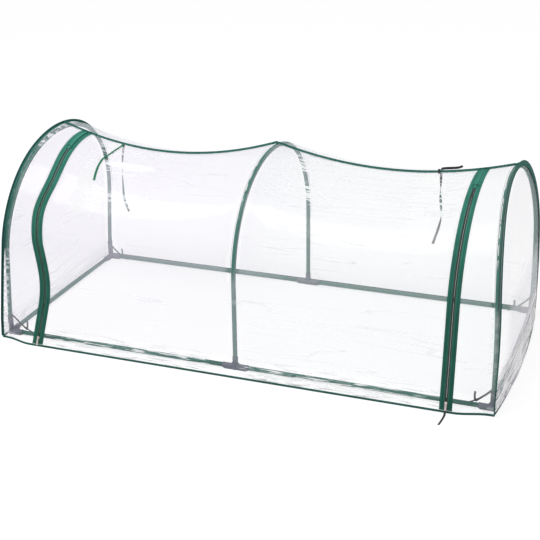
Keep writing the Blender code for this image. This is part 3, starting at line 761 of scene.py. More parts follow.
makeCamera()
coatedSteel = mottledFinish(
    "powderCoatedSteel", coatingSettings, IOR=1.5, Specular_IOR_Level=0.3, Coat_Weight=0.08, Coat_Roughness=0.12
)
greyPlastic = mottledFinish("mouldedPolypropylene", connectorSettings, IOR=1.49)
plated = mottledFinish("nickelPlatedZinc", platingSettings, Metallic=1.0)
coverFilm = clearVinylFilm("clearVinylFilm", "x", coverFilmSettings)
endFilm = clearVinylFilm("clearVinylFilmEnds", "y", endFilmSettings)
# a tape's share of light across it: place and share
foldStripes = ((0, 0.3), (0.3, 0.9), (0.6, 0.5), (1, 0.15))
plainStripes = ((0, 0.3), (0.2, 0.9), (0.8, 0.8), (1, 0.3))
# a tape's middle, dark and pale tones: low down it shows the dark and middle ones, high up the middle and pale
# ones, painted as if lit from above
bindingTape = wovenTape("wovenBindingTape", ("#346A62", "#25504A", "#478378"), foldStripes, seams=(0.2,))
# the tie tape's back is painted dark grey, standing in for the shade on its turned side
tieTape = wovenTape("wovenTieTape", ("#2B7458", "#1E5744", "#2F7A5E"), plainStripes, under="#3F4245")
stitching = wovenTape("sewnThread", ("#1F4438", "#142E27", "#24503F"), plainStripes)
print("looks made")


# The tie tapes, corner ties and the pull's ribbon are the cords: flat, limp, cut off plain at their far end
tieSettings = {
    "width": 0.010,
    "thickness": 0.0010,
    # x where each leaves the seam, and its way down from there: across, forwards, down
    "hanging": {
        "left": (
            -0.683,
            (
                (0, 0, 0),
                (-0.008, -0.002, -0.05),
                (-0.014, 0, -0.10),
                (-0.016, 0.001, -0.17),
                (-0.014, 0.002, -0.24),
                (0.003, 0.004, -0.297),
            ),
        ),
        "right": (
            0.670,
            (
                (0, 0, 0),
                (0.001, -0.002, -0.04),
                (0.001, 0, -0.09),
                (0.007, 0.001, -0.16),
                (0.002, 0.002, -0.21),
                (-0.0215, 0.004, -0.294),
            ),
        ),
    },
    # on the film outside: x, degrees from the apex, lift off the film
    "lying": {
        "left": (
            (-0.683, 4.7, 0.003),
            (-0.675, 0, 0.003),
            (-0.6795, -10.6, 0.003),
            (-0.689, -16, 0.003),
            (-0.6835, -25, 0.003),
            (-0.668, -36.6, 0.004),
        ),
        "right": (
            (0.670, 6, 0.003),
            (0.660, 11, 0.003),
            (0.660, 15.5, 0.004),
            (0.683, 18.3, 0.005),
            (0.714, 18.2, 0.006),
            (0.731, 17.6, 0.011),
        ),
    },
    # degrees that a tie is turned about its own length at its start and end, hanging inside and lying outside
    "twist": {"left": (0, 150), "right": (0, 360)},
    "turn": {"left": (0, 0), "right": (250, 305)},
    # the knot that holds the right one at the seam: x, lift off the film, reach forwards and up, width
    "knot": (0.662, 0.0045, (0.0052, 0.0085), 0.009),
    "cornerWidth": 0.008,
    # round each corner's leg and along its rail: along the rail, inwards, height
    "corner": (
        (0.002, 0.0105, 0.078),
        (0.010, 0.0115, 0.072),
        (0.030, 0.0125, 0.052),
        (0.055, 0.0125, 0.030),
        (0.066, 0.0125, 0.022),
        (0.070, 0.0125, 0.040),
        (0.069, 0.0150, 0.058),
    ),
    "tail": ((0.058, 0.0145, 0.030), (0.068, 0.0150, 0.022), (0.080, 0.0150, 0.015), (0.096, 0.0165, 0.008)),
    "tailWidth": 0.7,  # as a share of the tie's
    "loop": (0.0103, 0.0117),  # a knot's loop round a leg, across and inwards
    "loopHeight": 0.079,
    "wound": (430, 0.06),  # degrees that a knot's band goes round, and how much it grows on the way
}
corners = {"front_left": (-1, -1), "front_right": (1, -1), "back_right": (1, 1), "back_left": (-1, 1)}


def twisted(path, ways, first, last):
    count = len(path) - 1
    return [
        Matrix.Rotation(math.radians(mix(first, last, smooth(i / count))), 3, along) @ way
        for i, (way, along) in enumerate(zip(ways, directions(path)))
    ]


def tapeSweep(name, path, ways, width, look):
    outline = tapeOutline(width, tieSettings["thickness"])
    return sweep(name, path, ways, [outline] * len(path), look)


def flatCord(piece, path, width, lay, also=()):
    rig.cord(
        piece,
        exit=path[0],
        length=runs(path)[-1],
        diameter=width,
        far_end="bare",
        stiffness="limp",
        lay=lay,
        path=path,
        with_pieces=list(also),
    )


# A band wound once and a bit round a middle, in the plane of two directions
def windBand(name, middle, first, second, reach, width, look):
    path, ways = [], []
    square = first.cross(second).normalized()
    degrees, growth = tieSettings["wound"]
    for i, angle in enumerate(steps(0, math.radians(degrees), 30)):
        grown = 1 + growth * i / 30
        out, up = reach[0] * grown * math.cos(angle), reach[1] * grown * math.sin(angle)
        path.append(middle + first * out + second * up)
        ways.append(square)
    return tapeSweep(name, path, ways, width, look)


def makeTies():
    width = tieSettings["width"]
    for side, word in sides:
        key = word.lower()
        x, offsets = tieSettings["hanging"][key]
        start = film(x, seamStation, -0.003)[0]
        path = through([start + Vector(offset) for offset in offsets], 6)
        ways = twisted(path, [Vector((1, 0, 0))] * len(path), *tieSettings["twist"][key])
        tie = tapeSweep(f"tieTape{word}Inside", path, ways, width, tieTape)
        place(tie, "frame", "tape", f"tie_tape_{key}_inside")
        flatCord(tie, path, width, "hanging")

        path, normals = [], []
        for x, turn, lift in through(tieSettings["lying"][key], 6):
            turn = math.radians(turn)
            point, normal = film(x, turn / (rightAngle - flare(x, turn > 0)), lift)
            path.append(point)
            normals.append(normal)
        ways = [along.cross(normal).normalized() for along, normal in zip(directions(path), normals)]
        ways = twisted(path, ways, *tieSettings["turn"][key])
        tie = tapeSweep(f"tieTape{word}Outside", path, ways, width, tieTape)
        place(tie, "bending" if side < 0 else "frame", "tape", f"tie_tape_{key}_outside")
        knots = []
        if side > 0:
            knotX, lift, reach, knotWidth = tieSettings["knot"]
            knotAt = film(knotX, seamStation, lift)[0]
            knots = [windBand("tieKnotRight", knotAt, Vector((0, 1, 0)), Vector((0, 0, 1)), reach, knotWidth, tieTape)]
            place(knots[0], "frame", "tape")
        flatCord(tie, path, width, "loose", also=knots)


# A tape in a corner, along its points, and its path
def cornerTape(name, points, parts, width, x, y):
    points = [Vector((x * (1 - a), middleY + y * (halfWidth - b), c)) for a, b, c in points]
    path = through(points, parts)
    ways = [along.cross(Vector((0, -y, 0))).normalized() for along in directions(path)]
    return tapeSweep(name, path, ways, width, tieTape), path


def makeCornerTies():
    width = tieSettings["cornerWidth"]
    for word, (x, y) in corners.items():
        name = "".join(part.title() for part in word.split("_"))
        tie, path = cornerTape(f"cornerTie{name}", tieSettings["corner"], 4, width, x, y)
        place(tie, "frame", "tape", f"corner_tie_{word}")
        legX = hoopX(x, tieSettings["corner"][0][2])
        leg = Vector((legX, middleY + y * halfWidth, tieSettings["loopHeight"]))
        along, inwards = Vector((-x, 0, 0)), Vector((0, -y, 0))
        loop = windBand(f"cornerKnot{name}", leg, along, inwards, tieSettings["loop"], width, tieTape)
        place(loop, "frame", "tape")
        tailWidth = width * tieSettings["tailWidth"]
        tail, _ = cornerTape(f"cornerTail{name}", tieSettings["tail"], 3, tailWidth, x, y)
        place(tail, "frame", "tape")
        flatCord(tie, path, width, "loose", also=[loop, tail])


makeTies()
makeCornerTies()
print("ties made")


tubeSettings = {
    "radius": 0.009,
    "wall": 0.0008,
    "neck": 0.0075,  # radius of a leg's narrowed top, which plugs into the crown over so many degrees
    "neckAngle": 4,
    "neckStart": 0.0006,  # how much narrower it already is where it enters the crown
    "neckShares": (0.05, 0.12, 1.0),  # shares of that angle at which the neck's radius is set
    "lip": 0.0003,  # how much wider a crown's mouth is
    "lipShares": (0.15, 0.3, 0.4),
    "stop": 0.0145,  # from a connector's middle to a tube's end
}


# A drawn tube: an open bevelled curve, thickened inwards
def tube(name, points, radii, *nodes):
    curve = bpy.data.curves.new(name, "CURVE")
    curve.dimensions = "3D"
    curve.bevel_depth = tubeSettings["radius"]
    curve.bevel_resolution = 6
    curve.use_fill_caps = False
    spline = curve.splines.new("POLY")
    spline.points.add(len(points) - 1)
    for spot, point, radius in zip(spline.points, points, radii):
        spot.co = (*point, 1)
        spot.radius = radius / tubeSettings["radius"]
    spline.use_smooth = True
    made = dress(bpy.data.objects.new(name, curve), coatedSteel)
    bore = made.modifiers.new("bore", "SOLIDIFY")
    bore.thickness = tubeSettings["wall"]
    bore.offset = -1
    place(made, "frame", "tube", *nodes)


def makeRails():
    z, stop, radius = tunnel["railHeight"], tubeSettings["stop"], tubeSettings["radius"]
    for side, word in sides:
        for front, where in ((-1, "front"), (1, "back")):
            y = middleY + front * halfWidth
            points = [Vector((side * x, y, z)) for x in steps(stop, halfLength - stop, 6)]
            tube(f"groundRail{where.title()}{word}", points, [radius] * 7, f"base_rail_{where}_{word.lower()}")
        reach = halfWidth - stop
        points = [Vector((side * halfLength, y, z)) for y in steps(middleY - reach, middleY + reach, 4)]
        tube(f"groundRailEnd{word}", points, [radius] * 5, f"end_rail_{word.lower()}")


def makeHoops():
    radius, lip = tubeSettings["radius"], tubeSettings["lip"]
    neckAngle = math.radians(tubeSettings["neckAngle"])
    for side, word in ((-1, "Left"), (0, "Middle"), (1, "Right")):

        def axis(turn):
            y, z = arch(turn)
            return Vector((hoopX(side, z), middleY + y, z))

        for back, where in ((-1, "front"), (1, "back")):
            heights = [tunnel["railHeight"] + tubeSettings["stop"]] + steps(tunnel["leanStart"], springHeight, 8)[:-1]
            points = [Vector((hoopX(side, z), middleY + back * halfWidth, z)) for z in heights]
            bends = steps(rightAngle, jointAngle, 22)
            necks = [jointAngle - share * neckAngle for share in tubeSettings["neckShares"]]
            points += [axis(back * turn) for turn in bends + necks]
            neck = [radius - tubeSettings["neckStart"]] + [tubeSettings["neck"]] * 2
            radii = [radius] * (len(points) - 3) + neck
            tube(f"hoop{word}{where.title()}Leg", points, radii, f"hoop_{word.lower()}_{where}_leg")
        ends = [jointAngle - share * neckAngle for share in tubeSettings["lipShares"]]
        turns = ends + steps(jointAngle - 0.6 * neckAngle, 0.8 * neckAngle, 16)
        turns = [-turn for turn in turns] + turns[::-1]
        points = [axis(turn) for turn in turns]
        radii = [radius + lip] * 2 + [radius] * (len(points) - 4) + [radius + lip] * 2
        tube(f"hoop{word}Crown", points, radii, f"hoop_{word.lower()}_crown")


makeRails()
makeHoops()
print("tubes made")


connectorShape = {
    "reach": 0.052,  # from a connector's middle to a ground socket's mouth
    "cornerLeg": 0.058,
    "teeLeg": 0.040,
    "radius": 0.0109,
    "lip": 0.0114,  # a socket's mouth is a little thicker
    "lipLength": 0.0055,
    "bore": 0.0094,
    "boreFrom": 0.0140,  # from the connector's middle
    "hub": ((-0.0110, 0.0123), (-0.009, 0.0123), (-0.008, 0.0108), (0.0108, 0.0108)),  # heights and radii
    "web": 0.024,
    "webFoot": 0.004,
    "webHollow": 0.45,  # 0.5 would make the web's free edge straight
    "webHalf": 0.0019,
    "foot": ((0, -0.010), (0.044, -0.010), (0.048, -0.006), (0.048, 0.006), (0.044, 0.010), (0, 0.010)),
    "footHalf": 0.0016,
    "footDrop": 0.0095,
    "voxel": 0.0011,
    "softening": (0.5, 3),  # strength and rounds, which leave the inside corners soft
    "facesKept": 0.4,
}


def meshOf(name, build):
    shape = bmesh.new()
    build(shape)
    mesh = bpy.data.meshes.new(name)
    shape.to_mesh(mesh)
    shape.free()
    return mesh


# A closed skin over rings of points
def skin(shape, rings):
    rows = [[shape.verts.new(point) for point in ring] for ring in rings]
    count = len(rows[0])
    for low, high in zip(rows, rows[1:]):
        for i in range(count):
            j = (i + 1) % count
            shape.faces.new((low[i], low[j], high[j], high[i]))
    shape.faces.new(rows[0][::-1])
    shape.faces.new(rows[-1])


# A round body along a direction: its radii at distances from the origin
def turned(shape, way, radii, count=28):
    turn = Vector(way).to_track_quat("Z", "Y").to_matrix()
    angles = [math.tau * i / count for i in range(count)]
    skin(shape, [[turn @ Vector((r * math.cos(a), r * math.sin(a), away)) for a in angles] for away, r in radii])


# An outline in the plane of two directions, given a thickness square to them
def plate(shape, outline, first, second, half, drop=0.0):
    first, second = Vector(first), Vector(second)
    square = first.cross(second).normalized() * half
    spots = [first * a + second * b - Vector((0, 0, drop)) for a, b in outline]
    skin(shape, [[spot + square * side for spot in spots] for side in (-1, 1)])


# A moulded connector: sockets, hub, webs and feet melted together with soft inside corners, then bored
def connectorMesh(name, ground, legReach):
    size = connectorShape
    ways = [(way, size["reach"]) for way in ground] + [((0, 0, 1), legReach)]

    def body(shape):
        for way, reach in ways:
            lip = reach - size["lipLength"]
            mouth = [(lip - 0.001, size["radius"]), (lip, size["lip"]), (reach, size["lip"])]
            turned(shape, way, [(0, size["radius"]), *mouth])
        for way in ground:
            low, web = size["webFoot"], size["web"]
            middle = low + web * size["webHollow"]
            outline = ((low, low), (low + web, low), (middle, middle), (low, low + web))
            plate(shape, outline, way, (0, 0, 1), size["webHalf"])
            plate(shape, size["foot"], way, Vector(way).cross((0, 0, 1)), size["footHalf"], size["footDrop"])
        turned(shape, (0, 0, 1), size["hub"])

    def bores(shape):
        for way, reach in ways:
            turned(shape, way, [(size["boreFrom"], size["bore"]), (reach + 0.01, size["bore"])])

    made, tool = (
        dress(bpy.data.objects.new(name + part, meshOf(name + part, build)), None)
        for part, build in (("", body), ("Bores", bores))
    )
    melted = made.modifiers.new("melted", "REMESH")
    melted.voxel_size = size["voxel"]
    soft = made.modifiers.new("soft", "SMOOTH")
    soft.factor, soft.iterations = size["softening"]
    fewer = made.modifiers.new("fewer", "DECIMATE")
    fewer.ratio = size["facesKept"]
    bored = made.modifiers.new("bored", "BOOLEAN")
    bored.operation = "DIFFERENCE"
    bored.object = tool
    bpy.context.view_layer.update()
    mesh = bpy.data.meshes.new_from_object(made.evaluated_get(bpy.context.evaluated_depsgraph_get()))
    for piece in (made, tool):
        bpy.data.objects.remove(piece)
    mesh.shade_smooth()
    mesh.set_sharp_from_angle(angle=math.radians(38))
    return mesh


def makeConnectors():
    z = tunnel["railHeight"]
    corner = connectorMesh("corner", ((1, 0, 0), (0, 1, 0)), connectorShape["cornerLeg"])
    tee = connectorMesh("tee", ((-1, 0, 0), (1, 0, 0)), connectorShape["teeLeg"])
    spots = []
    for quarter, (word, (x, y)) in enumerate(corners.items()):
        spots.append((corner, f"corner_connector_{word}", (x * halfLength, middleY + y * halfWidth, z), quarter))
    for word, y in (("front", -1), ("back", 1)):
        spots.append((tee, f"tee_connector_{word}", (0, middleY + y * halfWidth, z), 0))
    for shape, node, spot, quarter in spots:
        mesh = shape.copy()
        mesh.transform(Matrix.Translation(spot) @ Matrix.Rotation(quarter * rightAngle, 4, "Z"))
        first, *rest = node.split("_")
        piece = dress(bpy.data.objects.new(first + "".join(part.title() for part in rest), mesh), greyPlastic)
        place(piece, "frame", "connector", node)


makeConnectors()
print("connectors made")


ripples = {
    "broad": (0.0016, 0.9, 6.0),  # height in metres, then cells a metre along the tunnel and across it
    "crease": (0.0006, 1.5, 14.0),
    "creaseFold": (0.45, 1.8, 5),  # the folded noise's top and steepness, and a shift of its pattern
    "fan": (0.0004, 22),  # height, and the number of creases in a half turn about the middle hoop's apex
    # metres from there over which the fan grows, then over which it fades, and where it has gone
    "fanReach": (0.12, 0.4, 0.62),
    "stationLength": 0.62,  # about the metres from one station to the next
    "edge": 0.03,  # width at a panel's edge over which they fade
    "hoop": (0.03, -0.0008),  # so near to a hoop the film dips no deeper than this
}


def ripple(x, station, point):
    height, along, across = ripples["broad"]
    lift = height * noise.noise(Vector((x * along, point.y * across, point.z * across)))
    height, along, across = ripples["crease"]
    top, steepness, shift = ripples["creaseFold"]
    cell = Vector((x * along + shift, point.y * across, point.z * across))
    lift += height * (top - abs(noise.noise(cell)) * steepness)
    height, count = ripples["fan"]
    down = abs(station) * ripples["stationLength"]
    away = math.hypot(x, down)
    growing, fading, gone = ripples["fanReach"]
    fan = height * math.sin(count * math.atan2(down, x))
    lift += fan * smooth(away / growing) * falling(away, gone, fading)
    near, deepest = ripples["hoop"]
    against = min(abs(x), abs(abs(x) - halfLength)) < near
    return max(lift, deepest) if against else lift


# 1 between two values, falling to 0 outside them over a soft width
def within(value, low, high, soft):
    return smooth((value - low) / soft + 1) * smooth((high - value) / soft + 1)


def offHoop(x, height):
    return min((x - hoopX(side, height) for side in (-1, 0, 1)), key=abs)


filmLook = {
    # x of the clearer places in front of the hanging ties, and their stations, with their soft edges
    "clear": ((-0.72, -0.68, 0.03), (0.63, 0.70, 0.03)),
    "clearStations": (-0.72, 0.05, 0.05),
    "clearBands": 0.5,  # how much weaker the ripples are there
    # what one face of the film hides, and where: a height, station or distance, and the span of the change
    "lowHaze": 0.13,
    "highHaze": 0.20,  # above the legs
    "highFrom": (0.28, 0.14),
    "farHaze": 0.14,  # the same on the right
    "farFrom": (0, 0.3),
    "backShare": 0.5,  # how much of it is left behind the ridge
    "backFrom": (0.4, 0.2),
    "railHaze": 0.04,  # low in front of a ground rail
    "railTop": (0.085, 0.02),
    "tieHaze": 0.05,
    "hoopHaze": 0.03,  # stretched over a hoop
    "touchFrom": (0.36, 0.05),  # but on the left hoop down to the ground
    "touchLeft": -0.9,
    "touchReach": (0.024, 0.010),
    "hoopReach": (0.022, 0.008),  # how near to a hoop the crumpled film's painted glints and shade reach
    "bandsOffHoop": (0.015, 0.02),  # how far from a hoop the ripples start
    # a lamp's soft glare: x and half its length, station and half its width, and at what share of these it ends
    "glare": (-0.56, 0.11, -0.23, 0.045, 1.5),
    # crumpled places, painted with glints and grey shade: share, whether only on a hoop, then x, height and station,
    # each with its soft edge (a soft edge of 0.0001 is a plain cut; x and height reach past the film where they set no
    # limit)
    "crumple": (
        (0.05, False, (-0.62, -0.20, 0.05), (-1, 0.055, 0.02), (-3, 0, 0.0001)),
        (0.2, False, (0.10, 0.60, 0.06), (-1, 0.04, 0.02), (-3, 0, 0.0001)),
        (0.2, False, (0.96, 2, 0.03), (-1, 0.025, 0.02), (-3, 0, 0.0001)),
        (0.2, False, (-2, -0.96, 0.03), (-1, 0.025, 0.02), (-3, 0, 0.0001)),
        (0.45, True, (-2, -0.9, 0.0001), (0.02, 0.34, 0.06), (-3, 0, 0.0001)),
        (0.1, True, (0.9, 2, 0.0001), (0.18, 0.36, 0.05), (-3, 3, 1)),
        (0.6, True, (-2, -0.9, 0.0001), (-1, 2, 1), (-0.22, 0.10, 0.05)),
    ),
    # painted glinting streaks low in front, over the ground rail: share, and x with its soft edge
    "smear": ((0.9, (0.07, 0.52, 0.05)), (0.5, (0.52, 0.80, 0.05)), (0.8, (-0.75, -0.12, 0.05))),
    # flat ripples, painted as white reflections of the lamps: share, then x and station, each with its soft edge
    "bands": (
        (0.15, (0.05, 0.80, 0.08), (-0.44, 0.05, 0.06)),
        (0.65, (0.12, 0.30, 0.06), (-0.44, 0.05, 0.06)),
        (0.65, (0.61, 0.76, 0.05), (-0.44, 0.05, 0.06)),
        (0.6, (-0.72, -0.54, 0.06), (-0.36, 0.0, 0.05)),
        (0.2, (-0.65, -0.45, 0.06), (-0.66, -0.56, 0.03)),
    ),
    # the stations between which the film glints along each hoop, with their soft edges
    "streak": {-1: (-0.62, -0.16, 0.05), 0: (-0.62, -0.24, 0.05), 1: (-0.72, -0.20, 0.05)},
    "streakShare": 0.95,
}


def clearing(x, station):
    inFront = within(station, *filmLook["clearStations"])
    return max(within(x, *span) * inFront for span in filmLook["clear"])


def hazeAt(x, station, height):
    high = mix(filmLook["highHaze"], filmLook["farHaze"], rising(x, *filmLook["farFrom"]))
    haze = mix(filmLook["lowHaze"], high, rising(height, *filmLook["highFrom"]))
    haze *= mix(1, filmLook["backShare"], rising(station, *filmLook["backFrom"]))
    haze = mix(haze, filmLook["railHaze"], falling(height, *filmLook["railTop"]) * (station < 0))
    haze = mix(haze, filmLook["tieHaze"], clearing(x, station))
    reach = max(rising(height, *filmLook["touchFrom"]), float(x < filmLook["touchLeft"]))
    touch = falling(abs(offHoop(x, height)), *filmLook["touchReach"]) * reach
    return mix(haze, filmLook["hoopHaze"], touch)


def glareAt(x, station, height):
    x0, halfX, s0, halfS, end = filmLook["glare"]
    return smooth(end - math.hypot((x - x0) / halfX, (station - s0) / halfS))


def crumpleGlintAndShadeAt(x, station, height):
    hoop = falling(abs(offHoop(x, height)), *filmLook["hoopReach"])
    return max(
        share * (hoop if onHoop else 1) * within(x, *across) * within(height, *up) * within(station, *around)
        for share, onHoop, across, up, around in filmLook["crumple"]
    )


def smearGlintAt(x, station, height):
    low = falling(height, *filmLook["railTop"]) * (station <= 0)
    return low * max(share * within(x, *across) for share, across in filmLook["smear"])


def bandsAt(x, station, height):
    most = max(share * within(x, *across) * within(station, *around) for share, across, around in filmLook["bands"])
    most *= rising(abs(offHoop(x, height)), *filmLook["bandsOffHoop"])
    return most * (1 - filmLook["clearBands"] * clearing(x, station))


def streakAt(x, station, height):
    nearest = min(filmLook["streak"], key=lambda side: abs(x - hoopX(side, height)))
    return filmLook["streakShare"] * within(station, *filmLook["streak"][nearest])


filmRules = {
    "haze": hazeAt,
    "crumple": crumpleGlintAndShadeAt,
    "smear": smearGlintAt,
    "bands": bandsAt,
    "streak": streakAt,
    "glare": glareAt,
    "offHoop": lambda x, station, height: offHoop(x, height),
}


def filmSheet(name, rows, look, values):
    sheet = loft(name, rows, look)
    for attribute, numbers in values.items():
        made = sheet.data.attributes.new(attribute, "FLOAT", "POINT")
        made.data.foreach_set("value", numbers)
    shell = sheet.modifiers.new("thickness", "SOLIDIFY")
    shell.thickness = tunnel["filmThickness"]
    shell.offset = 0
    return sheet


# One panel of the cover: columns gives the x values of the panel's row at a station
def coverPanel(name, first, last, columns):
    rows = []
    values = {key: [] for key in filmValues}
    for station in stations(first, last):
        row = columns(station)
        rows.append([])
        for x in row:
            point = film(x, station)[0]
            inside = min(x - row[0], row[-1] - x, (station - first) * 0.5, (last - station) * 0.5)
            lift = ripple(x, station, point) * smooth(inside / ripples["edge"])
            rows[-1].append(cover(x, station, lift))
            for key, rule in filmRules.items():
                values[key].append(rule(x, station, point.z))
    return filmSheet(name, rows, coverFilm, values)


# The sheet's flat size: its longest row, and its longest column
def flatSize(piece, columns):
    points = [vert.co for vert in piece.data.vertices]
    rows = [points[i : i + columns] for i in range(0, len(points), columns)]
    return max(runs(row)[-1] for row in rows), max(runs(column)[-1] for column in zip(*rows))


zipSettings = {
    # knots of each zip's line: station, x, slope
    "knots": {
        -1: (
            (-2.0, -0.836, 0.07),
            (-1.6, -0.808, 0.07),
            (-1.4, -0.803, -0.02),
            (-0.8, -0.850, 0.0),
            (-0.5, -0.832, 0.0),
            (0.1, -0.856, 0.0),
        ),
        1: ((-2.0, 0.843, -0.005), (0.1, 0.8325, -0.005)),
    },
    "foot": -1.976,  # stations of the straight stretch's two ends
    "straight": -1.6,
    "coilNear": 0.0004,  # from the zip's middle
    "coilFar": 0.0034,
    "coilHalf": 0.0008,  # half its height
    "coilPitch": 0.0018,
    "coilPoints": 6,  # to a turn
    "wire": 0.0004,
    "tapeEdge": 0.024,
    "tape": 0.0009,
    "tongue": (-0.0014, -0.0017),  # the two faces of the tape's edge under the coil
    "tongueTip": 0.0003,  # from the zip's middle
    "seams": (0.1, 0.72),  # shares of the way from its outer edge to the middle
    # painted shade under the coil: from this share across the tape, in a dark tone for each zip
    "underCoilShadeFrom": 0.68,
    "core": {-1: "#35574B", 1: "#46524E"},
    "nylon": {-1: ("#2C4F43", "#3F6455"), 1: ("#313A38", "#4D5552")},
    "plainTop": 0.045,  # from the seam down to where the coil ends
    "patchEnd": 0.15,  # and to where the tape over the coil's top ends
    "patchWidth": 0.015,
    "patchLift": 0.0025,
    "bendRadius": 0.42,  # the film's, where that tape ends
    # the bar of stitches: how far above that end, its half height, half width, lift off the film and thickness
    "bar": (0.010, 0.007, 0.011, 0.0036, 0.0034),
    "barAngles": (4, 78),
    "gap": 0.0004,  # between neighbouring sheets, tapes and bindings
}


def zipX(side, station):
    station = max(station, zipSettings["foot"])
    knots = zipSettings["knots"][side]
    for (first, low, rise), (last, high, lastRise) in zip(knots, knots[1:]):
        if station <= last:
            break
    span = last - first
    share = (station - first) / span
    bend = span * share * (1 - share) * (rise * (1 - share) - lastRise * share)
    return mix(low, high, share * share * (3 - 2 * share)) + bend


frontAngle = rightAngle - math.radians(tunnel["frontFlare"])
coilTop = seamStation - zipSettings["plainTop"] / crownRadius / frontAngle
patchEnd = seamStation - zipSettings["patchEnd"] / zipSettings["bendRadius"] / frontAngle
tapeStripes = ((0, 0.1), (0.12, 0.8), (0.30, 0.55), (0.36, 0.1), (0.46, 0.6), (0.74, 0.95))
tapeGreens = ("#2B6B5A", "#1D4C42", "#449482")


def zipTapeLook(side, word):
    seen = runs([cover(zipX(side, s), s) for s in stations(-2, patchEnd)])[-1]
    core = (zipSettings["core"][side], zipSettings["underCoilShadeFrom"], seen)
    return wovenTape(f"wovenZipTape{word}", tapeGreens, tapeStripes, seams=zipSettings["seams"], core=core)


zipTapes = {side: zipTapeLook(side, word) for side, word in sides}
zipNylon = {}
for side, word in sides:
    given = {"tones": zipSettings["nylon"][side], **nylonSettings}
    zipNylon[side] = mottledFinish(f"woundNylon{word}", given, IOR=1.53, Specular_IOR_Level=0.3)
patchTape = wovenTape("wovenPatchTape", tapeGreens, plainStripes)


def sheetEdge(side, station):
    return endX(side, edgeHeight(side, station)) - side * (bindingThickness / 2 + zipSettings["gap"])


def makeCover():
    inset = zipSettings["tapeEdge"] + zipSettings["gap"]

    def backColumns(station):
        return steps(sheetEdge(-1, station), sheetEdge(1, station), 110)

    def doorColumns(station):
        return steps(zipX(-1, station) + inset, zipX(1, station) - inset, 100)

    back = coverPanel("backFilm", seamStation + seamGap / 2, 2, backColumns)
    place(back, "frame", "film", "cover_back_sheet")
    crowns = ["hoopLeftCrown", "hoopMiddleCrown", "hoopRightCrown"]
    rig.sheet(back, flat=flatSize(back, 111), held="stretched", rests_on=crowns)
    door = coverPanel("doorFilm", -2, seamStation - seamGap / 2, doorColumns)
    place(door, "bending", "film", "door_panel")
    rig.sheet(door, flat=flatSize(door, 101), held="stretched", rests_on=["hoopMiddleCrown", "ridgeBinding"])
    for side, word in sides:

        def stripColumns(station):
            near = zipX(side, station) + side * inset
            return sorted(steps(near, sheetEdge(side, station), 16))

        strip = coverPanel(f"frontFilm{word}", -2, seamStation - seamGap / 2, stripColumns)
        place(strip, "frame", "film", f"cover_front_strip_{word.lower()}")
        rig.sheet(strip, flat=flatSize(strip, 17), held="stretched", rests_on=[f"hoop{word}Crown"])


endSettings = {
    "columns": 36,
    "sectionSteps": (26, 18),  # rows on the bend and on the skirt
    "topStation": 0.02,  # of the top row, which lies half a binding lower
    "fold": (0.004, 150),  # height of the folds near the ground, and radians a metre up
    "foldTop": (0.16, 0.08),  # height at which they end, and over which they grow
    "wave": (0.004, 5, 3),  # height, then cells a metre across and up
    "edge": (0.12, 0.1),  # share of the width, and metres below the top, over which both fade
    "haze": {-1: 0.14, 1: 0.13},
    "rim": (0.018, 0.025),  # the clear rim at the arch: its width and its soft edge
    "rimHaze": 0.02,
    "veil": 0.34,  # haze of the right end's lower part, which veils the corner behind it
    "veilTop": (0.26, 0.38, 0.10),  # its top at the rim and inside, and the soft edge
    "veilFront": (0.1, 0.2),  # share of the width at which it starts, and the soft edge
    "crumple": {-1: 0.1, 1: 1.0},
    "smear": {-1: 0.0, 1: 0.5},
    "footHeight": {-1: 0.10, 1: 0.16},  # up to where the film is crumpled and smeared, with painted glints and grey shade, and the soft edges
    "footSoft": (0.05, 0.06),
    "filled": 0.78,  # share of its flat rectangle that the arch fills
}


def endBulge(side, front, back, point):
    across = (point.y - front.y) / (back.y - front.y)
    low = max(0.0, 1 - point.z / tunnel["endBulgeHeight"]) ** tunnel["endBulgePower"]
    return tunnel["endBulge"][side] * low * 4 * across * (1 - across)


def endFolds(side, share, point):
    rim, below = endSettings["edge"]
    edge = smooth(min(share, 1 - share) / rim) * falling(point.z, topHeight, below)
    low = falling(point.z, *endSettings["foldTop"])
    height, rate = endSettings["fold"]
    fold = math.sin(point.z * rate + 3 * noise.noise(Vector((point.y * 2, side, 0))))
    waveHeight, across, up = endSettings["wave"]
    wave = noise.noise(Vector((side * 3, point.y * across, point.z * up))) * waveHeight
    return edge * (wave + fold * height * low)


def endLooks(side, share, height, away):
    inner = rising(away, *endSettings["rim"])
    outerTop, innerTop, soft = endSettings["veilTop"]
    veiled = falling(height, mix(outerTop, innerTop, inner), soft) * rising(share, *endSettings["veilFront"])
    haze = mix(endSettings["rimHaze"], endSettings["haze"][side], inner)
    foot, (crumpleGlintAndShadeSoft, smearGlintSoft) = endSettings["footHeight"][side], endSettings["footSoft"]
    return {
        "haze": mix(haze, endSettings["veil"], veiled * (side > 0)),
        "crumple": endSettings["crumple"][side] * falling(height, foot, crumpleGlintAndShadeSoft),
        "smear": endSettings["smear"][side] * falling(height, foot, smearGlintSoft),
        "offHoop": 1.0,
    }


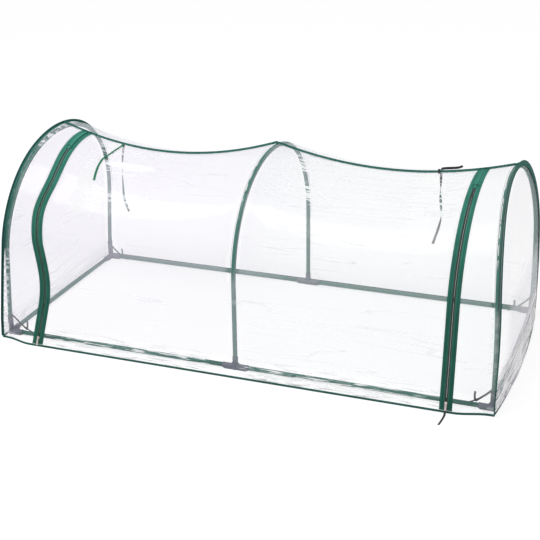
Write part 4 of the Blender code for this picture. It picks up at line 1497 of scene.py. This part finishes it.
def makeEnds():
    lift = -bindingThickness / 2 - zipSettings["gap"]
    top = endSettings["topStation"]
    levels = [(s, lift) for s in stations(-2, 2, *endSettings["sectionSteps"]) if s > top + 0.01]
    levels.append((top, lift - bindingThickness / 2))
    levels.sort(reverse=True)
    for side, word in sides:
        rows = []
        values = {key: [] for key in filmValues}
        ends = [(archPoint(side, -s, inset), archPoint(side, s, inset)) for s, inset in levels]
        rim = [point for pair in ends for point in pair]
        for front, back in ends:
            shares = steps(0, 1, endSettings["columns"])
            row = [front.lerp(back, share) for share in shares]
            for share, point in zip(shares, row):
                point.x += side * (endBulge(side, front, back, point) + endFolds(side, share, point))
                away = min((point - other).length for other in rim)
                looks = endLooks(side, share, point.z, away)
                for key in filmValues:
                    values[key].append(looks.get(key, 0.0))
            rows.append(row)
        end = filmSheet(f"endFilm{word}", rows, endFilm, values)
        place(end, "frame", "film", f"cover_end_sheet_{word.lower()}")
        width, length = flatSize(end, endSettings["columns"] + 1)
        area = endSettings["filled"] * width * length
        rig.sheet(end, flat=(width, length), held="stretched", rests_on=[f"archBinding{word}"], area=area)


makeCover()
makeEnds()
print("film made")


bindingSettings = {
    "ridge": 0.0098,  # heights in metres
    "arch": 0.0118,
    "hem": 0.0092,
    "hemGap": 0.0008,  # from a zip's middle to the hems on its two sides
    "lapFaces": (0.0009, 0.0017),  # heights of a lap's two faces over the film
    # the left arch's binding laps over the roof, narrower near the ground; the right one laps over the roof
    # only behind the ridge, and over the end sheet down to the ground
    "leftLap": (0.0112, 0.0070),
    "leftNarrows": (0.40, 0.06),  # height at which it starts to get narrower, and over which it does
    "roofLap": 0.0140,
    "roofLapFrom": (0.04, 0.08),  # station, and the stations over which it grows
    "endLap": (0.0015, 0.0110),
    "endLapFrom": (0.06, 0.2),  # height, and the metres over which it grows
    "endLapFaces": (0.0006, -0.0002),
}


# The section of an arch's binding: the fold, with a thin lap on the film beside it
def lapOutline(side, station, height, rise):
    half = bindingThickness / 2
    first, second, *rest = foldOutline(bindingSettings["arch"], bindingThickness)
    under, over = (face - rise for face in bindingSettings["lapFaces"])
    if side > 0:
        reach = mix(half * 0.9, bindingSettings["roofLap"], rising(station, *bindingSettings["roofLapFrom"]))
        foot = -bindingSettings["arch"] / 2
        low = foot - mix(*bindingSettings["endLap"], rising(height, *bindingSettings["endLapFrom"]))
        near, far = (face - half for face in bindingSettings["endLapFaces"])
        lap = [(under, half * 0.5), (under, reach), (over, reach), (over, half * 0.6)]
        return [(low, far), (low, near), (foot, near), second, *lap, *rest[:-1], (under, far)]
    reach = mix(*bindingSettings["leftLap"], falling(height, *bindingSettings["leftNarrows"]))
    lap = [first, second, (under, half * 0.5), (under, reach), (over, reach), (over, half * 0.6), *rest]
    return [(a, -b) for a, b in lap]


def makeBindings():
    fold = foldOutline(bindingSettings["ridge"], bindingThickness)
    rise = (bindingSettings["ridge"] - bindingThickness) / 2
    columns = steps(sheetEdge(-1, seamStation), sheetEdge(1, seamStation), 120)
    path = [cover(x, seamStation, rise) for x in columns]
    ways = [film(x, seamStation)[1] for x in columns]
    place(sweep("ridgeBinding", path, ways, [fold] * len(path), bindingTape), "frame", "tape", "ridge_binding")
    rise = (bindingSettings["arch"] - bindingThickness) / 2
    for side, word in sides:
        around = stations(-2, 2)
        path = [archPoint(side, s, rise) for s in around]
        ways = [film(side * halfLength, s)[1] for s in around]
        outlines = [lapOutline(side, s, point.z, rise) for s, point in zip(around, path)]
        binding = sweep(f"archBinding{word}", path, ways, outlines, bindingTape)
        place(binding, "frame", "tape", f"arch_binding_{word.lower()}")


def hemPoint(x, station):
    return Vector((x, film(x, station)[0].y, tunnel["hemHeight"] / 2))


def acrossEnd(side, front, back):
    row = [front.lerp(back, share) for share in steps(0, 1, 30)]
    for point in row:
        point.x += side * endBulge(side, front, back, point)
    return row


def makeHems():
    fold = foldOutline(bindingSettings["hem"], bindingThickness)
    downwards = [(-a, b) for a, b in fold]
    ends, fronts = {}, {}
    for side in (-1, 1):
        corner = side * (halfLength + tunnel["endOffset"])
        near = zipX(side, -2) + side * bindingSettings["hemGap"]
        fronts[side] = [hemPoint(x, -2) for x in steps(near, corner, 10)]
        ends[side] = acrossEnd(side, hemPoint(corner, -2), hemPoint(corner, 2))
    back = [hemPoint(x, 2) for x in steps(sheetEdge(-1, 2), sheetEdge(1, 2), 60)[1:-1]]
    path = fronts[-1][:-1] + ends[-1] + back + ends[1][::-1] + fronts[1][-2::-1]
    upright = Vector((0, 0, 1))
    hem = sweep("coverHem", path, [upright] * len(path), [downwards] * len(path), bindingTape)
    place(hem, "frame", "tape", "cover_hem_binding")
    near, far = zipX(-1, -2) + bindingSettings["hemGap"], zipX(1, -2) - bindingSettings["hemGap"]
    path = [hemPoint(x, -2) for x in steps(near, far, 80)]
    hem = sweep("doorHem", path, [upright] * len(path), [downwards] * len(path), bindingTape)
    place(hem, "door", "tape", "door_hem_binding")


makeBindings()
makeHems()
print("bindings made")


# A zip tape's section from its outer edge round: a thin tongue runs under the coil to the zip's middle, and
# rises level with the tape where the coil has ended
def zipTapeOutline(outward, middle, level):
    edge, half = zipSettings["tapeEdge"], zipSettings["tape"] / 2
    far = zipSettings["coilFar"] + zipSettings["gap"]
    (tongueTop, tongueBottom), tip = zipSettings["tongue"], zipSettings["tongueTip"]
    top, bottom = mix(tongueTop, half, level), mix(tongueBottom, -half, level)
    shape = [(edge, 0.0), (edge - half, half), (far + half, half), (far, mix(0.0001, half, level))]
    shape += [(far - 0.0001, top), (tip, top), (tip, bottom), (far + half, bottom)]
    shape += [(far + 0.001, -half), (edge - half, -half)]
    return [(outward * (a - middle), b) for a, b in shape]


# A zip's half: its woven tape, and its coil wound round a line beside the zip's middle
def makeZips():
    upper = seamStation - seamGap / 2
    middle = zipSettings["tapeEdge"] / 2
    centre = (zipSettings["coilNear"] + zipSettings["coilFar"]) / 2
    for side, word in sides:
        for outward, part in ((side, "Cover"), (-side, "Door")):
            path, ways, outlines = [], [], []
            for s in stations(-2, upper):
                x = zipX(side, s) + outward * middle
                path.append(cover(x, s))
                ways.append((cover(x + middle, s) - cover(x - middle, s)).normalized())
                outlines.append(zipTapeOutline(outward, middle, rising(s, coilTop, 0.02)))
            tape = sweep(f"zipTape{word}{part}", path, ways, outlines, zipTapes[side])
            line = [cover(zipX(side, s) + outward * centre, s) for s in stations(-2, coilTop)]
            coil = windCoil(f"zipCoil{word}{part}", line, outward, zipNylon[side])
            arc = stitchedArc(f"zipStop{word}{part}", side, outward)
            body = "bending" if part == "Door" else "frame"
            place(tape, body, "tape", f"zip_tape_{word.lower()}_{part.lower()}")
            place(coil, body, "coil", f"zip_coil_{word.lower()}_{part.lower()}")
            place(arc, body, "tape")
        line = [cover(zipX(side, s), s, zipSettings["patchLift"]) for s in steps(patchEnd, upper - 0.004, 18)]
        ways = [Vector((1, 0, 0))] * len(line)
        place(tapeSweep(f"zipPatch{word}", line, ways, zipSettings["patchWidth"], patchTape), "bending", "tape")


def windCoil(name, line, outward, look):
    wire, high, spin = zipSettings["wire"], zipSettings["coilHalf"], zipSettings["coilPoints"]
    across = (zipSettings["coilFar"] - zipSettings["coilNear"]) / 2 - wire
    start = 0.25 if outward > 0 else 0.75  # the two halves' turns lie between each other
    lengths = runs(line)
    points, k = [], 0
    while (run := len(points) * zipSettings["coilPitch"] / spin) < lengths[-1]:
        while lengths[k + 1] < run:
            k += 1
        share = (run - lengths[k]) / (lengths[k + 1] - lengths[k])
        point = line[k].lerp(line[k + 1], share)
        raised = Vector((1, 0, 0)).cross((line[k + 1] - line[k]).normalized()).normalized()
        angle = math.tau * (len(points) / spin + start)
        points.append(point + Vector((across * math.cos(angle), 0, 0)) + raised * (high * math.sin(angle)))
    ring = [(wire * math.cos(math.tau * i / 5), wire * math.sin(math.tau * i / 5)) for i in range(5)]
    ways = [Vector((0, 0, 1)).cross(along).normalized() for along in directions(points)]
    return sweep(name, points, ways, [ring] * len(points), look)


# The bar of stitches that closes the coil's top end, one half on each tape
def stitchedArc(name, side, outward):
    above, high, wide, lift, thread = zipSettings["bar"]
    path = []
    for angle in steps(*(math.radians(degrees) for degrees in zipSettings["barAngles"]), 10):
        s = patchEnd + (above + high * math.cos(angle)) / zipSettings["bendRadius"] / frontAngle
        path.append(cover(zipX(side, s) + outward * wide * math.sin(angle), s, lift))
    ways = [film(point.x, patchEnd)[1].cross(along).normalized() for point, along in zip(path, directions(path))]
    return tapeSweep(name, path, ways, thread, stitching)


makeZips()
print("zips made")


sliderSettings = {
    "height": 0.033,  # of a slider's middle over the ground
    "pivot": (0, -0.0048, -0.0010),  # across, inwards, up
    "bevel": 0.00022,
    "tabBevel": 0.0002,
    # a slider's plates: half of a symmetric outline (across, up), then how far inwards its two faces lie
    "plates": {
        "front": (
            ((-0.0026, 0.0100), (-0.0046, 0.0086), (-0.0048, 0.0030), (-0.0036, -0.0040), (-0.0032, -0.0080)),
            -0.0034,
            -0.0019,
        ),
        "wedge": (((-0.00045, 0.0045), (-0.00045, 0.0080)), -0.0030, 0.0028),
        "leg": (((-0.0010, 0.0030), (-0.0010, 0.0050)), -0.0066, -0.0030),
        "foot": (((-0.0010, -0.0050), (-0.0010, -0.0030)), -0.0066, -0.0030),
        "span": (((-0.0010, -0.0050), (-0.0010, 0.0050)), -0.0070, -0.0061),
    },
    # the plate behind lies only on the door's side
    "back": (
        ((0, -0.006), (0, 0.010), (0.0036, 0.0096), (0.0046, 0.0080), (0.0046, 0.0020), (0.0034, -0.006)),
        0.0019,
        0.0031,
    ),
    # the pull's tab and its window: half width, lowest and highest point, and how much narrower it is below
    "tab": (0.0040, -0.0270, 0.0005, 0.8),
    "window": (0.0022, -0.0075, -0.0006, 1.0),
    "tabHalf": 0.0006,  # half its thickness
    "ribbonWidth": 0.008,
    "ribbonFloor": 0.0012,
    "ribbonKnot": (0, -0.0016, -0.023),  # from the pivot
    "ribbonDrop": (0.004, 0.55),  # its first point below that: metres forwards, and share of the height
    # the ribbon's way from the pull over the ground
    "ribbon": ((0.001, -0.012, 0.0008), (0.001, -0.030, 0), (-0.001, -0.060, 0), (-0.004, -0.088, 0)),
}


# Where a slider rests: its middle, and the axes across, inwards and up along the zip
def sliderFrame(side):
    station = -2 + sliderSettings["height"] / film(zipX(side, -1), -1)[0].z
    low = film(zipX(side, zipSettings["foot"]), zipSettings["foot"])[0]
    high = film(zipX(side, zipSettings["straight"]), zipSettings["straight"])[0]
    point, normal = film(zipX(side, station), station)
    up = (high - low).normalized()
    across = (-normal).cross(up).normalized()
    inward = up.cross(across)
    return point, Matrix((across, inward, up)).transposed()


# A cast piece in a slider's axes
def castPiece(name, spot, axes, build, *given):
    mesh = meshOf(name, lambda shape: build(shape, *given))
    mesh.transform(Matrix.Translation(spot) @ axes.to_4x4())
    mesh.shade_smooth()
    mesh.set_sharp_from_angle(angle=math.radians(40))
    return dress(bpy.data.objects.new(name, mesh), plated)


def sliderBody(shape, door):
    halves = sliderSettings["plates"].values()
    plates = [([*half, *[(-a, b) for a, b in half[::-1]]], low, high) for half, low, high in halves]
    back, low, high = sliderSettings["back"]
    plates.insert(1, ([(door * a, b) for a, b in back], low, high))
    for outline, low, high in plates:
        skin(shape, [[(a, inwards, b) for a, b in outline] for inwards in (low, high)])
    bmesh.ops.recalc_face_normals(shape, faces=shape.faces)
    bevel = sliderSettings["bevel"]
    bmesh.ops.bevel(shape, geom=shape.edges[:], offset=bevel, segments=2, affect="EDGES", clamp_overlap=True)


def rounded(half, low, high, taper):
    outline = []
    for middle, radius, start in ((high - half, half, 0), (low + half * taper, half * taper, 180)):
        for i in range(11):
            angle = math.radians(start + 18 * i)
            outline.append((radius * math.cos(angle), middle + radius * math.sin(angle)))
    return outline


# A pull tab's plate with its window
def pullTab(shape):
    outlines = [rounded(*sliderSettings[key]) for key in ("tab", "window")]
    half = sliderSettings["tabHalf"]
    loops = [[shape.verts.new((a, y, b)) for a, b in outline] for outline in outlines for y in (-half, half)]
    outerNear, outerFar, innerNear, innerFar = loops
    for i in range(len(outerNear)):
        j = (i + 1) % len(outerNear)
        shape.faces.new((outerNear[i], outerNear[j], outerFar[j], outerFar[i]))
        shape.faces.new((innerNear[j], innerNear[i], innerFar[i], innerFar[j]))
        shape.faces.new((outerNear[j], outerNear[i], innerNear[i], innerNear[j]))
        shape.faces.new((outerFar[i], outerFar[j], innerFar[j], innerFar[i]))
    bmesh.ops.recalc_face_normals(shape, faces=shape.faces)
    sharp = [edge for edge in shape.edges if edge.calc_face_angle(0) > 0.9]
    bmesh.ops.bevel(shape, geom=sharp, offset=sliderSettings["tabBevel"], segments=2, affect="EDGES")


def makeSliders():
    for side, word in sides:
        point, axes = sliderFrame(side)
        slider = castPiece(f"slider{word}", point, axes, sliderBody, -side)
        place(slider, f"slider_{word.lower()}", "metal", f"zip_slider_{word.lower()}")
        tab = castPiece(f"pullTab{word}", point + axes @ Vector(sliderSettings["pivot"]), axes, pullTab)
        place(tab, f"pull_{word.lower()}", "metal", f"zip_pull_{word.lower()}")


# The ribbon tied through the right pull, which lies on the ground in front of the hem
def makePullRibbon():
    point, axes = sliderFrame(1)
    start = point + axes @ (Vector(sliderSettings["pivot"]) + Vector(sliderSettings["ribbonKnot"]))
    forwards, share = sliderSettings["ribbonDrop"]
    path = [start, Vector((start.x, start.y - forwards, start.z * share))]
    floor = sliderSettings["ribbonFloor"]
    path += [Vector((start.x + x, start.y + y, floor + z)) for x, y, z in sliderSettings["ribbon"]]
    path = through(path, 4)
    width = sliderSettings["ribbonWidth"]
    ribbon = tapeSweep("pullRibbonRight", path, [Vector((1, 0, 0))] * len(path), width, tieTape)
    place(ribbon, "pull_right", "tape", "zip_pull_ribbon_right")
    flatCord(ribbon, path, width, "loose")


makeSliders()
makePullRibbon()
print("sliders made")


studioSettings = {
    "ambient": 0.62,
    "floorBounce": 0.85,  # the floor's own white, for the light that it throws back
    "floorSeen": (0.30, 0.80),  # its white and its own light where it is looked at, so that it keeps faint shadows
    "floorHalf": 40,
    "floorHeight": -0.0003,
    "keySize": (2.6, 1.8),
    "keyPower": 74,
    "keyPlace": (-1.2, -1.4, 3.6),
    "keyAim": (0, 0, 0.3),
}


# 1 for rays from the camera and for what gloss and glass show
def looking(add):
    rays = add("LightPath").node.outputs
    either = add("Math", (rays["Is Camera Ray"], rays["Is Glossy Ray"]), operation="MAXIMUM")
    return add("Math", (either, rays["Is Transmission Ray"]), operation="MAXIMUM")


def studio():
    world = bpy.data.worlds.new("studioWorld")
    scene.world = world
    world.use_nodes = True
    light = world.node_tree.nodes["Background"]
    light.inputs["Color"].default_value = (1, 1, 1, 1)
    add = partial(addNode, world)
    feed(light, Strength=add("MapRange", (looking(add), 0, 1, studioSettings["ambient"], 1)))

    floorLook, shader, add = newLook("paleFloor", Roughness=1.0, Specular_IOR_Level=0.0, Emission_Color=(1, 1, 1, 1))
    seen = looking(add)
    white, glow = studioSettings["floorSeen"]
    own = add("MapRange", (seen, 0, 1, studioSettings["floorBounce"], white))
    feed(shader, Base_Color=own, Emission_Strength=add("MapRange", (seen, 0, 1, 0, glow)))
    mesh = bpy.data.meshes.new("floor")
    reach, height = studioSettings["floorHalf"], studioSettings["floorHeight"]
    corner = ((-reach, -reach), (reach, -reach), (reach, reach), (-reach, reach))
    mesh.from_pydata([(x, y, height) for x, y in corner], [], [(0, 1, 2, 3)])
    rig.stage(dress(bpy.data.objects.new("floor", mesh), floorLook))

    lamp = bpy.data.lights.new("keyLight", "AREA")
    lamp.shape = "RECTANGLE"
    lamp.size, lamp.size_y = studioSettings["keySize"]
    lamp.energy = studioSettings["keyPower"]
    key = bpy.data.objects.new("keyLight", lamp)
    scene.collection.objects.link(key)
    key.location = studioSettings["keyPlace"]
    key.rotation_euler = (Vector(studioSettings["keyAim"]) - key.location).to_track_quat("-Z", "Y").to_euler()


studio()
scene.view_settings.view_transform = "Standard"

with open("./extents.json", "w") as sizes:
    json.dump({"cad": [list(corner) for corner in cadBox], "visual": [list(corner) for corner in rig.bounds()]}, sizes)
